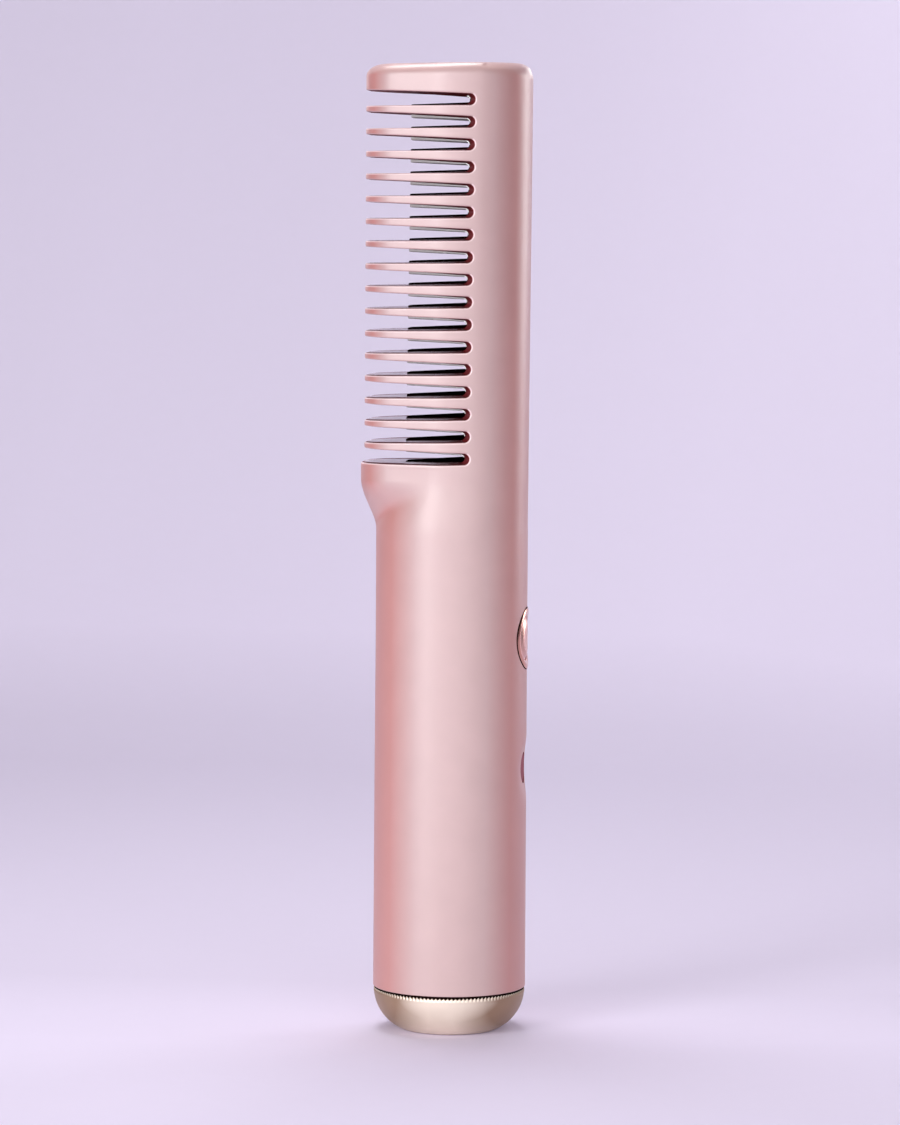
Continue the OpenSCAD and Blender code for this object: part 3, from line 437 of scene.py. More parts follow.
def slot_end(sheets, z_c):
    """The round end of a slot, with the face round it as far as the next slots."""
    spine_x, spine_r = SPINE
    low_a, high_a = head_outline.angle_at(SLOT_ARC_X), head_outline.angle_at(CELL_END_X)
    n_side = CELL_COLUMN - ARC_COLUMN
    side_angles = [low_a + (high_a - low_a) * i / n_side for i in range(n_side + 1)]
    border = border_round(side_angles, z_c - PITCH / 2, z_c + PITCH / 2, END_ROWS)
    turn = half_turn(border, spine_r)
    arc = [(low_a + SLOT_ROOT_R * math.cos(t) / spine_r, z_c + SLOT_ROOT_R * math.sin(t)) for t in turn]
    out_dir = [(math.cos(t), math.sin(t)) for t in turn]

    def outer(a, z, depth=0.0):
        return (spine_x + (spine_r - depth) * math.cos(a), (spine_r - depth) * math.sin(a), z)

    rows = []
    for j in range(FACE_ROWS + 1):
        share = j / FACE_ROWS
        row = []
        for (ca, cz), (ba, bz), (ms, mz) in zip(border, arc, out_dir):
            goal = (ba + ms * EDGE_R / spine_r, bz + mz * EDGE_R)
            row.append(outer(ca + (goal[0] - ca) * share, cz + (goal[1] - cz) * share))
        rows.append(row)
    for depth, left in rounding(EDGE_R, ROUND_ROWS):
        rows.append([outer(ba + ms * left / spine_r, bz + mz * left, depth)
                     for (ba, bz), (ms, mz) in zip(arc, out_dir)])
    last = np.array(rows[-1])
    inner_r = SLOT_ROOT_R - DRAFT_ROOT
    inner_arc = [(INNER_ARC_X + inner_r * math.cos(t), z_c + inner_r * math.sin(t)) for t in turn]
    goal = np.array([(x, pocket_y(x), z) for x, z in inner_arc])
    for w in range(1, WALL_ROWS + 1):
        rows.append(list(last + (goal - last) * w / WALL_ROWS))
    inner = []
    for j in range(FACE_ROWS, -1, -1):
        row = []
        for (ca, cz), (ax, az) in zip(border, inner_arc):
            cx = inner_cell_x(outer(ca, 0)[0])
            x = cx + (ax - cx) * j / FACE_ROWS
            row.append((x, pocket_y(x), cz + (az - cz) * j / FACE_ROWS))
        inner.append(row)

    def finish_at(j, i):
        # painted shade on the slot end's wall, and a painted highlight on the lower part of its rounded edge
        if j >= SHADE_ROW:
            return PAINTED_SHADE_ROSE
        return EDGE_HIGHLIGHT_FINISH if j >= FACE_ROWS and turn[i] < EDGE_HIGHLIGHT_REACH else LACQUER

    sheets.grid(rows, pick=finish_at)
    sheets.grid(inner, finish=PAINTED_SHADE_ROSE)


def no_sink(a, z):
    return 0.0


def dish_sink(a, z):
    """Depth of the dished recess round the display."""
    across = HANDLE_R * (a - 2 * math.pi) / DISH_WIDE
    along = (z - DISPLAY_Z) / DISH_LONG
    out = math.sqrt(across * across + along * along)
    if out >= 1:
        return 0.0
    return DISH_DEPTH * ease(min(1.0, (1 - out) / DISH_SLOPE))


def hole_cell(sheets, z_c, radius, n_end, first, sink):
    """The shell round a half hole on the handle's spine side, from the hole to a rectangle."""
    n_side = LAST - first
    side_angles = [handle_angles[LAST - i] for i in range(n_side + 1)]
    border = border_round(side_angles, z_c - CELL_HALF_H, z_c + CELL_HALF_H, n_end)
    rim = []
    for t in -np.pi - half_turn(border, HANDLE_R):
        y, z = radius * math.cos(t), z_c + radius * math.sin(t)
        rim.append((2 * math.pi + math.asin(max(-1, min(0, y / HANDLE_R))), z))

    def outer(a, z, depth=0.0):
        r = HANDLE_R - sink(a, z) - depth
        return (r * math.cos(a), r * math.sin(a), z)

    def widened(a, z, more):
        grow = 1 + more / radius
        return 2 * math.pi + (a - 2 * math.pi) * grow, z_c + (z - z_c) * grow

    shares = [1 - (1 - j / HOLE_ROWS) ** 1.4 for j in range(HOLE_ROWS + 1)]
    rows = []
    for share in shares:
        row = []
        for (ca, cz), (ba, bz) in zip(border, rim):
            ga, gz = widened(ba, bz, HOLE_EDGE_R)
            row.append(outer(ca + (ga - ca) * share, cz + (gz - cz) * share))
        rows.append(row)
    for depth, left in rounding(HOLE_EDGE_R, 3):
        rows.append([outer(*widened(ba, bz, left), depth) for ba, bz in rim])
    inner = []
    for share in reversed(shares):
        inner.append([((HANDLE_R - WALL) * math.cos(ca + (ba - ca) * share),
                       (HANDLE_R - WALL) * math.sin(ca + (ba - ca) * share), cz + (bz - cz) * share)
                      for (ca, cz), (ba, bz) in zip(border, rim)])
    rows.append(inner[0])
    # painted shade on the holes' rounded edges: a dark outline round the ring and the lens
    sheets.grid(rows, changes=[(HOLE_ROWS, PAINTED_SHADE_ROSE)])
    sheets.grid(inner)
    for edge in (0, -1):
        outer_edge = [r[edge] for r in rows]
        inner_edge = [r[edge] for r in inner]
        sheets.grid([outer_edge[:HOLE_ROWS + 1], inner_edge[::-1]])
        sheets.fan(inner_edge[0], outer_edge[HOLE_ROWS:])


def wall_strip(sheets, outer_rows, inner_rows, close_first=True, close_last=True):
    """A stretch of shell wall: its outer and inner side and the cut faces at the parting line."""
    sheets.grid(outer_rows)
    sheets.grid(inner_rows[::-1])
    if close_first:
        sheets.grid([[r[0] for r in outer_rows], [r[0] for r in inner_rows]])
    if close_last:
        sheets.grid([[r[-1] for r in inner_rows], [r[-1] for r in outer_rows]])


def lower_edge(sheets, handle):
    """The shell's lower end, with a small rounding outside."""
    edge = [row_at(handle, SEAM_Z, WALL), row_at(handle, SEAM_Z, RIM_R)]
    edge += [row_at(handle, SEAM_Z + depth, left) for depth, left in rounding(RIM_R, 3)]
    sheets.grid(edge)
    for end in (0, -1):
        sheets.fan(row_at(handle, SEAM_Z + RIM_R, WALL)[end], [r[end] for r in edge])
    sheets.grid([row_at(handle, SEAM_Z + RIM_R, WALL), row_at(handle, SEAM_Z, WALL)])


def handle_wall(sheets, handle):
    """The handle, with the holes for the display and the button on its spine side."""
    first, n_end = LAST - 12, 20

    def strip(zs, low, high):
        wall_strip(sheets, [row_at(handle, z)[low:high + 1] for z in zs],
                   [row_at(handle, z, WALL)[low:high + 1] for z in zs],
                   close_first=low == 0, close_last=high == LAST)

    z_low = SEAM_Z + RIM_R
    for z_c, radius, sink in ((DISPLAY_Z, LENS_R, dish_sink), (BUTTON_Z, RING_R, no_sink)):
        zs = list(np.linspace(z_low, z_c - CELL_HALF_H, 5))
        strip(zs, 0, first)
        strip(zs, first, LAST)
        zs = [z_c - CELL_HALF_H + 2 * CELL_HALF_H * i / n_end for i in range(n_end + 1)]
        strip(zs, 0, first)
        hole_cell(sheets, z_c, radius + HOLE_FIT, n_end, first, sink)
        z_low = z_c + CELL_HALF_H
    zs = list(np.linspace(z_low, HANDLE_TOP_Z, 4))
    strip(zs, 0, first)
    strip(zs, first, LAST)


def neck(sheets):
    """The swell from the handle to the shoulder, up to the first slot."""
    steps = 28
    sections = [neck_columns(ease(i / steps)) for i in range(steps + 1)]
    heights = [HANDLE_TOP_Z + (BAND_Z - HANDLE_TOP_Z) * i / steps for i in range(steps + 1)]
    first_line = FIRST_SLOT_Z - PITCH / 2
    outer = [row_at(s, z) for s, z in zip(sections, heights)] + [row_at(shoulder_columns, first_line)]
    inner = [row_at(s, z, WALL) for s, z in zip(sections, heights)] + [flat_row(shoulder_pocket, first_line)]
    wall_strip(sheets, outer, inner)


def toothed_wall(sheets):
    """The slots with the teeth between them; the shoulder is the first slot's lower side."""
    xs = head_columns[:ARC_COLUMN + 1, 0]
    ledge_run = 6                      # the shoulder's ledge rises to the slot's root over this length
    for i in range(SLOTS):
        z_c = FIRST_SLOT_Z + i * PITCH
        low_z, high_z = z_c - PITCH / 2, z_c + PITCH / 2
        if i == 0:
            root_z = z_c - SLOT_ROOT_R
            ledge = root_z - (root_z - SHOULDER_Z) * np.clip((SLOT_ARC_X - xs) / ledge_run, 0, 1)
            slot_side(sheets, shoulder_columns, shoulder_pocket, low_z, ledge, 1)
        else:
            slot_side(sheets, head_columns, head_pocket, low_z, z_c - slot_half(xs), 1)
        slot_side(sheets, head_columns, head_pocket, high_z, z_c + slot_half(xs), -1)
        slot_end(sheets, z_c)
        zs = [low_z + PITCH * j / END_ROWS for j in range(END_ROWS + 1)]
        wall_strip(sheets, [row_at(head_columns, z)[CELL_COLUMN:] for z in zs],
                   [flat_row(head_pocket, z)[CELL_COLUMN:] for z in zs], close_first=False)


def head_top(sheets):
    """The head's end: the last stretch of wall, a round edge and the sloping top face."""
    xs = head_columns[:, 0]
    low_z = FIRST_SLOT_Z + (SLOTS - 0.5) * PITCH
    round_high = 3.0 + 0.8 * np.clip((xs - 8) / 10, 0, 1)
    round_wide = np.interp(xs, [TIP_X, -8, 8, 18], [4.3, 3.4, 3.0, 3.8])
    start = TOP_Z - (SPINE_X - xs) * TOP_FALL - round_high
    outer = [np.column_stack([head_columns[:, :2], low_z + (start - low_z) * j / 3]) for j in range(4)]
    for inset, left in rounding(1.0, 10):
        xy = head_columns[:, :2] - head_columns[:, 2:] * (round_wide * inset)[:, None]
        # where the flat tip's rounding meets itself, no station may fall back behind the one before
        xy[:, 0] = np.maximum.accumulate(xy[:, 0])
        outer.append(np.column_stack([xy, TOP_Z - (SPINE_X - xy[:, 0]) * TOP_FALL - round_high * left]))
    ring = outer[-1]
    for j in range(1, 7):
        outer.append(np.column_stack([ring[:, 0], ring[:, 1] * (1 - j / 6), ring[:, 2]]))
    ceiling = flat_row(head_pocket, CEILING_Z)
    outer += [ceiling * (1, 0, 1), ceiling, flat_row(head_pocket, low_z)]
    sheets.grid(outer)
    for end in (0, -1):
        line = [r[end] for r in outer]
        sheets.fan(line[-1], line[:-1])


def half_shell():
    """The front half of the housing, from its lower end to the top."""
    sheets = Sheets()
    handle = neck_columns(0)
    lower_edge(sheets, handle)
    handle_wall(sheets, handle)
    neck(sheets)
    toothed_wall(sheets)
    head_top(sheets)
    sheets.points = [leaned(*p) for p in sheets.points]
    return sheets


def head_share(z):
    """0 at the shoulder, 1 at the last slot."""
    return min(1.0, max(0.0, (z - SHOULDER_Z) / (LAST_SLOT_Z - SHOULDER_Z)))


def tip_lift(x, z):
    """The teeth fan out a little: their tips lie higher towards the top."""
    last = LAST_SLOT_Z - 2
    share = head_share(z) if z < last else max(0.0, (FAN_END_Z - z) / (FAN_END_Z - last))
    return TIP_FAN * share * min(1.0, max(0.0, (SLOT_ARC_X - x) / 25))


def root_shift(z):
    """The slots' closed ends lean back a little on their way up."""
    return ROOT_LEAN * (head_share(z) - 0.5)


def leaned(x, y, z):
    """Fits a point of the shells to the fanned teeth, the leaning slots and the slightly slimmer sides."""
    spine_shift = float(np.interp(z, *SPINE_DRAWN_IN))
    if z <= FIRST_SLOT_Z - PITCH / 2:
        left_shift = float(np.interp(z, *HANDLE_LEFT_IN))
        shift = spine_shift * max(0.0, x) / SPINE_X + left_shift * max(0.0, -x) / SPINE_X
        return x + shift, y, z
    # the hollow behind the slots stays upright
    if x > CELL_END_X and math.hypot(x - SPINE[0], y) < SPINE[1] - 0.7:
        return x, y, z - HEAD_SETTLE * head_share(z)
    shift = float(np.interp(x, [TIP_X, SLOT_ARC_X, CELL_END_X, SPINE_X],
                            [0, root_shift(z), root_shift(z), spine_shift]))
    return x + shift, y, z + tip_lift(x, z) - HEAD_SETTLE * head_share(z)


def make_shells():
    front = half_shell()
    rear = half_shell()
    rear.points = [(x, -y, z) for x, y, z in rear.points]
    made = []
    for sheets, name in ((front, "front_shell_satin"), (rear, "rear_shell_satin")):
        piece = sheets.build(name)
        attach(piece, "root")
        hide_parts(name.replace("_satin", ""))
        made.append(piece)
    return made


# ------------------------------------------------------------------ the metal comb

def metal_columns():
    """Half outline of the metal comb's teeth: flat tip, corner and wedge, with where the wedge starts."""
    r = METAL_TIP_R
    slope = math.atan2(METAL_BAR_Y - METAL_TIP_Y, METAL_WEDGE_END_X - METAL_TIP_X)
    normal = 1.5 * math.pi - slope
    out = [(METAL_TIP_X, -(METAL_TIP_Y - r) * i / 3, -1.0, 0.0) for i in range(3)]
    cx, cy = METAL_TIP_X + r, -(METAL_TIP_Y - r)
    for i in range(6):
        a = math.pi + (normal - math.pi) * i / 6
        out.append((cx + r * math.cos(a), cy + r * math.sin(a), math.cos(a), math.sin(a)))
    sx, sy = cx + r * math.cos(normal), cy + r * math.sin(normal)
    for i in range(13):
        x = sx + (METAL_ARC_X - sx) * i / 12
        out.append((x, metal_face_y(x, sx, sy), math.cos(normal), math.sin(normal)))
    return np.array(out), sx, sy


def metal_face_y(x, sx, sy):
    """The metal's front face at x, where its wedge starts at sx, sy."""
    if x >= METAL_WEDGE_END_X:
        return -METAL_BAR_Y
    return sy - (METAL_BAR_Y + sy) * (x - sx) / (METAL_WEDGE_END_X - sx)


def metal_half(x, widen=METAL_WIDEN):
    """Half height of the gap between two metal teeth."""
    return METAL_ROOT_R + widen * (METAL_ARC_X - x)


def crown(x):
    """How much lower a metal tooth's upper side is at its front face than in its middle."""
    return 0.15 + 0.35 * np.clip((x - METAL_TIP_X) / (METAL_ARC_X - METAL_TIP_X), 0, 1)


# how far across and how far up a crown has come at each step
CROWN_SHARES = [(math.sin(math.pi / 2 * i / 6), 1 - math.cos(math.pi / 2 * i / 6)) for i in range(1, 7)]
# the metal comb's finishes: painted shade and dark reflection on the upward faces, a near-white steel as
# painted light on the downward faces
SHADED_TOPS, LIT_UNDERSIDES = range(2)


def make_metal_comb():
    """Wedge-shaped metal teeth, each crowned above and below, on a flat bar."""
    cols, sx, sy = metal_columns()
    xs = cols[:, 0]
    arc_y = metal_face_y(METAL_ARC_X, sx, sy)
    n_side, n_end, n_face = 4, 6, 2
    cell_xs = [METAL_ARC_X + (METAL_CELL_X - METAL_ARC_X) * i / n_side for i in range(n_side + 1)]
    bar_xs = [METAL_CELL_X, METAL_BACK_X - METAL_BACK_R]
    back = [(METAL_BACK_X - METAL_BACK_R, -METAL_BAR_Y)]
    back += [(METAL_BACK_X - left, depth - METAL_BAR_Y) for depth, left in rounding(METAL_BACK_R, 3)]
    back += [(METAL_BACK_X, (METAL_BACK_R - METAL_BAR_Y) * (1 - j / 4)) for j in range(1, 5)]
    sheets = Sheets()

    def tooth_side(z_mid, edge, side):
        lower = crown(xs) if side > 0 else np.full(len(xs), UNDERSIDE_CROWN)
        rows = [np.column_stack([cols[:, :2], z_mid + (edge - side * lower - z_mid) * j / n_face])
                for j in range(n_face + 1)]
        for across, up in CROWN_SHARES:
            share = CROWN_REACH * up
            x = np.where(xs < sx, xs + (sx + 0.4 - xs) * share * 0.4, xs)
            rows.append(np.column_stack([x, cols[:, 1] * (1 - share), edge - side * lower * (1 - across)]))
        rows.append(rows[-1] * (1, 0, 1))
        # painted shade on a tooth's upper side, painted light on its underside
        sheets.grid(rows, finish=SHADED_TOPS if side > 0 else LIT_UNDERSIDES)

    def root(z_c, low_z, high_z):
        border = border_round(cell_xs, low_z, high_z, n_end)
        turn = half_turn(border)
        lower = float(crown(METAL_ARC_X))
        arc, wide = [], []
        for t in turn:
            more = (lower * (1 - math.sin(t)) + UNDERSIDE_CROWN * (1 + math.sin(t))) / 2
            for out, r in ((arc, METAL_ROOT_R), (wide, METAL_ROOT_R + more)):
                out.append((METAL_ARC_X + r * math.cos(t), z_c + r * math.sin(t)))
        rows = []
        for j in range(n_face + 1):
            s = j / n_face
            rows.append([(cx + (bx - cx) * s, metal_face_y(cx + (bx - cx) * s, sx, sy), cz + (bz - cz) * s)
                         for (cx, cz), (bx, bz) in zip(border, wide)])
        for across, up in CROWN_SHARES:
            rows.append([(bx + (ax - bx) * across, metal_face_y(bx, sx, sy) * (1 - CROWN_REACH * up),
                          bz + (az - bz) * across) for (bx, bz), (ax, az) in zip(wide, arc)])
        rows.append([(ax, 0.0, az) for ax, az in arc])
        # painted light on the root's upper half, painted shade on its lower half
        sheets.grid(rows, pick=lambda j, i: LIT_UNDERSIDES if turn[i] > 0 else SHADED_TOPS)

    def open_end(z_c):
        """Closes the bar above the last slot, whose upper side is the shell's own."""
        edge_z = z_c + METAL_ROOT_R
        line = [(METAL_ARC_X, arc_y, METAL_TOP_Z + (edge_z + UNDERSIDE_CROWN - METAL_TOP_Z) * j / n_face)
                for j in range(n_face + 1)]
        line += [(METAL_ARC_X, arc_y * (1 - CROWN_REACH * up), edge_z + UNDERSIDE_CROWN * (1 - across))
                 for across, up in CROWN_SHARES]
        line.append((METAL_ARC_X, 0.0, edge_z))
        sheets.fan((METAL_ARC_X, 0.0, METAL_TOP_Z), line)

    def bar_end(z, start):
        front = start + [(x, metal_face_y(x, sx, sy)) for x in cell_xs[1:]] + back
        sheets.grid([[(x, y, z) for x, y in front], [(x, 0.0, z) for x, y in front]])

    back_zs = []
    for i in range(SLOTS):
        z_c = FIRST_SLOT_Z + i * PITCH
        last = i == SLOTS - 1
        low_z = z_c - PITCH / 2 if i else METAL_LOW_Z
        high_z = METAL_TOP_Z if last else z_c + PITCH / 2
        tooth_side(low_z, z_c - metal_half(xs), 1)
        if not last:
            tooth_side(high_z, z_c + metal_half(xs, METAL_WIDEN * 0.5), -1)
        root(z_c, low_z, high_z)
        zs = [low_z + (high_z - low_z) * j / n_end for j in range(n_end + 1)]
        sheets.grid([[(x, -METAL_BAR_Y, z) for x in bar_xs] for z in zs])
        back_zs += zs[:-1]
        if last:
            open_end(z_c)
    sheets.grid([[(x, y, z) for x, y in back] for z in back_zs + [METAL_TOP_Z]])
    bar_end(METAL_LOW_Z, [tuple(c[:2]) for c in cols])
    bar_end(METAL_TOP_Z, [(METAL_ARC_X, 0.0), (METAL_ARC_X, arc_y)])
    lean_xs = [METAL_CELL_X, METAL_BACK_X - 0.7]
    sheets.points = [(x + float(np.interp(x, lean_xs, [root_shift(z), 0])), y,
                      z + tip_lift(x, z) - HEAD_SETTLE * head_share(z)) for x, y, z in sheets.points]
    piece = sheets.mirrored().build("metal_comb_polished", crease=32)
    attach(piece, "root")
    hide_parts("heating_comb")
    return piece


# ------------------------------------------------------------------ foot cap, button and display

# finishes of the cap and the ring: what shows, and a near-black painted shadow in the gaps behind it
SHOWN, PAINTED_SHADOW_SEAT = range(2)


def cap_profile(inset, n=22):
    """Radius and height along the dome, from the foot to the rim."""
    b = CAP_H * 1.06
    s = math.sqrt(1 - (CAP_H / b) ** 2)
    a = (CAP_R - FOOT_R) / (1 - s)
    out = []
    for i in range(n + 1):
        z = CAP_H * (i / n) ** 1.25
        out.append((CAP_R - a + a * math.sqrt(max(0.0, 1 - ((CAP_H - z) / b) ** 2)) - inset, z))
    return out


def make_cap():
    """Domed foot cap with a finely serrated rim and the opening for the charging socket."""
    per = 6
    n = SERRATIONS * per
    angles = 2 * np.pi * np.arange(n + 1) / n
    notch = 1 - np.abs((np.arange(n + 1) % per) / per * 2 - 1)
    sheets = Sheets()

    def ring(r, z):
        r = np.broadcast_to(r, n + 1)
        z = np.broadcast_to(z, n + 1)
        return np.column_stack([r * np.cos(angles), r * np.sin(angles), z])

    half_t = SOCKET_T / 2
    flat = (SOCKET_W - SOCKET_T) / 2
    hole = []
    for a in angles:
        dx, dy = math.cos(a), math.sin(a)
        # distance from the middle to the stadium's edge in this direction
        if abs(dy) > 1e-9 and abs(dx / dy) * half_t <= flat:
            d = half_t / abs(dy)
        else:
            b = abs(dx) * flat
            d = b + math.sqrt(max(0.0, b * b - flat * flat + half_t * half_t))
        hole.append(d)
    hole = np.array(hole)

    foot_edge = 0.5
    rows = [ring(hole, CAP_WALL), ring(hole, 0.25), ring(hole + 0.25, 0.0)]
    for j in range(1, 5):
        rows.append(ring(hole + 0.25 + (FOOT_R - foot_edge - hole - 0.25) * j / 4, 0.0))
    profile = cap_profile(0.0)
    rows.append(ring(FOOT_R + 0.03, 0.12))
    band_low = CAP_H - BAND_H
    for r, z in profile[1:]:
        if z < band_low - 0.1:
            rows.append(ring(r, z))
    for share in (0.0, 0.35, 0.7, 1.0):
        z = band_low + (CAP_H - 0.12 - band_low) * share
        drawn_in = 0.02 + 0.12 * notch * min(1.0, share * 1.4)
        rows.append(ring(CAP_R - drawn_in, z - NOTCH_DEPTH * notch * share))
    rows.append(ring(CAP_R - 0.14 - 0.1 * notch, CAP_H - NOTCH_DEPTH * notch))
    # from this row on the cap is a near-black painted shadow: the notches' floor and all inside
    seat = len(rows) - 1
    rows.append(ring(CAP_R - 0.85, CAP_H - 0.05))
    rows.append(ring(CAP_R - 2.15, CAP_H))
    rows.append(ring(CAP_R - 2.15, 6.3))
    for r, z in reversed(cap_profile(CAP_WALL)):
        if z < 5.6:
            rows.append(ring(min(r, CAP_R - 2.25), z + CAP_WALL * (1 if z < 0.01 else 0.6)))
    rows.pop()
    rows.append(ring(9.0, CAP_WALL))
    rows.append(ring(hole, CAP_WALL))
    sheets.grid(rows, changes=[(seat, PAINTED_SHADOW_SEAT)])
    piece = sheets.build("foot_cap_satin", crease=28)
    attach(piece, "root")
    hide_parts("base_cap")
    return piece


def make_ring():
    """Polished ring round the button, flush with the handle, with a bevel on each side."""
    n = 128
    sheets = Sheets()
    profile = [(RING_R, -3.2), (RING_R, -0.3), (RING_R, -0.04), (RING_R - 0.05, 0.0), (RING_R - 0.35, 0.08),
               (RING_R - 0.7, 0.14), (RING_R - 1.0, 0.15), (RING_R - 1.25, 0.1), (RING_BORE_R + 0.4, -0.1),
               (RING_BORE_R + 0.1, -0.28), (RING_BORE_R, -0.5), (RING_BORE_R, -2.7)]
    rows = []
    for r, lift in profile:
        row = []
        for i in range(n + 1):
            a = 2 * math.pi * i / n
            y, z = r * math.cos(a), r * math.sin(a)
            x = math.sqrt(max(0.0, HANDLE_R ** 2 - y * y)) + lift
            if lift < -2:
                x = HANDLE_R - (1.95 if r > 6 else 2.65)
            row.append((x, y, BUTTON_Z + z))
        rows.append(row)
    rows.append([(HANDLE_R - 2.7, p[1] * 1.14, BUTTON_Z + (p[2] - BUTTON_Z) * 1.14) for p in rows[-1]])
    rows.append([(HANDLE_R - 2.7, p[1], p[2]) for p in rows[0]])
    rows.append(rows[0])
    # the ring's outer wall next to the shell is a near-black painted shadow, a dark outline round the ring
    sheets.grid(rows, finish=PAINTED_SHADOW_SEAT, changes=[(3, SHOWN)])
    piece = sheets.build("button_ring_polished", crease=30)
    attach(piece, "root")
    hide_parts("button_ring")
    return piece


def make_button():
    """The push button: a low crown with a rounded edge, a skirt and its retaining lip."""
    n = 128
    angles = 2 * np.pi * np.arange(n + 1) / n
    sheets = Sheets()
    crown_r = HANDLE_R - 0.05
    rows = []
    for r, drop in [(BUTTON_LIP_R, 3.6), (BUTTON_LIP_R, 2.85), (BUTTON_R, 2.85)]:
        rows.append([(HANDLE_R - drop, r * math.cos(a), BUTTON_Z + r * math.sin(a)) for a in angles])
    for r, drop in [(BUTTON_R, -0.75), (BUTTON_R - 0.06, -0.62), (4.9, -0.5), (4.5, -0.34), (4.1, -0.18),
                    (3.8, -0.08), (3.5, -0.02), (3.1, 0.0), (2.4, 0.0), (1.7, 0.0), (1.0, 0.0), (0.4, 0.0)]:
        row = []
        for a in angles:
            y, z = r * math.cos(a), r * math.sin(a)
            row.append((math.sqrt(crown_r ** 2 - y * y) + drop, y, BUTTON_Z + z))
        rows.append(row)
    rows.append([(crown_r, 0.0, BUTTON_Z)] * (n + 1))
    sheets.grid(rows)
    back = [[(HANDLE_R - 2.4, 0.0, BUTTON_Z)] * (n + 1)]
    for r, drop in [(1.7, 2.4), (1.7, 1.4), (4.6, 1.4), (4.6, 3.6), (BUTTON_LIP_R, 3.6)]:
        back.append([(HANDLE_R - drop, r * math.cos(a), BUTTON_Z + r * math.sin(a)) for a in angles])
    sheets.grid(back)
    piece = sheets.build("power_button_crown", crease=34)
    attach(piece, "button")
    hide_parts("power_button")
    return piece


def make_lens():
    """Smoked display lens, slightly dished, set in under the recess's floor."""
    n = 96
    sheets = Sheets()
    angles = 2 * np.pi * np.arange(n + 1) / n
    front = HANDLE_R - DISH_DEPTH - LENS_SET_IN
    rows = [[(front - 1.9, 0.0, DISPLAY_Z)] * (n + 1)]
    for r, drop in [(LENS_R, 1.9), (LENS_R, 0.2), (LENS_R - 0.05, 0.1), (LENS_R - 0.16, 0.05),
                    (LENS_R - 0.5, 0.05), (2.2, 0.03), (1.0, 0.02)]:
        rows.append([(front - drop, r * math.cos(a), DISPLAY_Z + r * math.sin(a)) for a in angles])
    rows.append([(front - 0.02, 0.0, DISPLAY_Z)] * (n + 1))
    sheets.grid(rows)
    piece = sheets.build("display_lens_smoked", crease=34)
    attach(piece, "root")
    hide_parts("display_lens")
    return piece


# ------------------------------------------------------------------ materials

def material(name):
    made = bpy.data.materials.new(name)
    made.use_nodes = True
    tree = made.node_tree
    return made, tree, tree.nodes["Principled BSDF"]


def link(tree, source, socket):
    tree.links.new(source, socket)


def map_range(tree, source, from_low, from_high, to_low=0.0, to_high=1.0):
    """Maps a range of a value to another; the new ends are numbers or sockets."""
    made = tree.nodes.new("ShaderNodeMapRange")
    made.inputs["From Min"].default_value = from_low
    made.inputs["From Max"].default_value = from_high
    for label, end in (("To Min", to_low), ("To Max", to_high)):
        if isinstance(end, (int, float)):
            made.inputs[label].default_value = end
        else:
            link(tree, end, made.inputs[label])
    link(tree, source, made.inputs["Value"])
    return made.outputs["Result"]


def maths(tree, operation, *sources):
    """A maths node on sockets or plain numbers."""
    made = tree.nodes.new("ShaderNodeMath")
    made.operation = operation
    for socket, source in zip(made.inputs, sources):
        if isinstance(source, (int, float)):
            socket.default_value = source
        else:
            link(tree, source, socket)
    return made.outputs[0]


def mix(tree, share, low, high, kind="MIX"):
    """Mix of two colours, each a tuple or a socket."""
    made = tree.nodes.new("ShaderNodeMix")
    made.data_type = "RGBA"
    made.blend_type = kind
    link(tree, share, made.inputs[0])
    for socket, colour in ((made.inputs[6], low), (made.inputs[7], high)):
        if isinstance(colour, tuple):
            socket.default_value = (*colour, 1)
        else:
            link(tree, colour, socket)
    return made.outputs[2]


def times(colour, factor):
    return tuple(c * factor for c in colour)


def place_on(tree, kind="Object"):
    """X, Y and Z of a point in the piece's own metres, or of its Normal."""
    place = tree.nodes.new("ShaderNodeTexCoord")
    split = tree.nodes.new("ShaderNodeSeparateXYZ")
    link(tree, place.outputs[kind], split.inputs["Vector"])
    return split.outputs


def new_group(name, inputs, outputs):
    """A shader node group with named sockets for numbers, and its two end nodes."""
    group = bpy.data.node_groups.new(name, "ShaderNodeTree")
    for label, value in inputs.items():
        socket = group.interface.new_socket(label, in_out="INPUT", socket_type="NodeSocketFloat")
        socket.default_value = value
    for label in outputs:
        group.interface.new_socket(label, in_out="OUTPUT", socket_type="NodeSocketFloat")
    return group, group.nodes.new("NodeGroupInput").outputs, group.nodes.new("NodeGroupOutput").inputs


def sprayed_grain_group():
    """Fine grain of a sprayed satin finish: a mask of soft clouds, their roughness and a height."""
    defaults = {"Grain per metre": 9000, "Least roughness": 0.4, "Most roughness": 0.5}
    group, given, out = new_group("sprayed_grain", defaults, ("Mask", "Roughness", "Height"))
    place = group.nodes.new("ShaderNodeTexCoord")
    fine = group.nodes.new("ShaderNodeTexNoise")
    fine.inputs["Detail"].default_value = 2
    soft = group.nodes.new("ShaderNodeTexNoise")
    soft.inputs["Scale"].default_value = 160
    soft.inputs["Detail"].default_value = 3
    for noise in (fine, soft):
        link(group, place.outputs["Object"], noise.inputs["Vector"])
    link(group, given["Grain per metre"], fine.inputs["Scale"])
    link(group, map_range(group, soft.outputs["Fac"], 0.3, 0.7), out["Mask"])
    link(group, map_range(group, soft.outputs["Fac"], 0.3, 0.7, given["Least roughness"],
                          given["Most roughness"]), out["Roughness"])
    link(group, fine.outputs["Fac"], out["Height"])
    return group


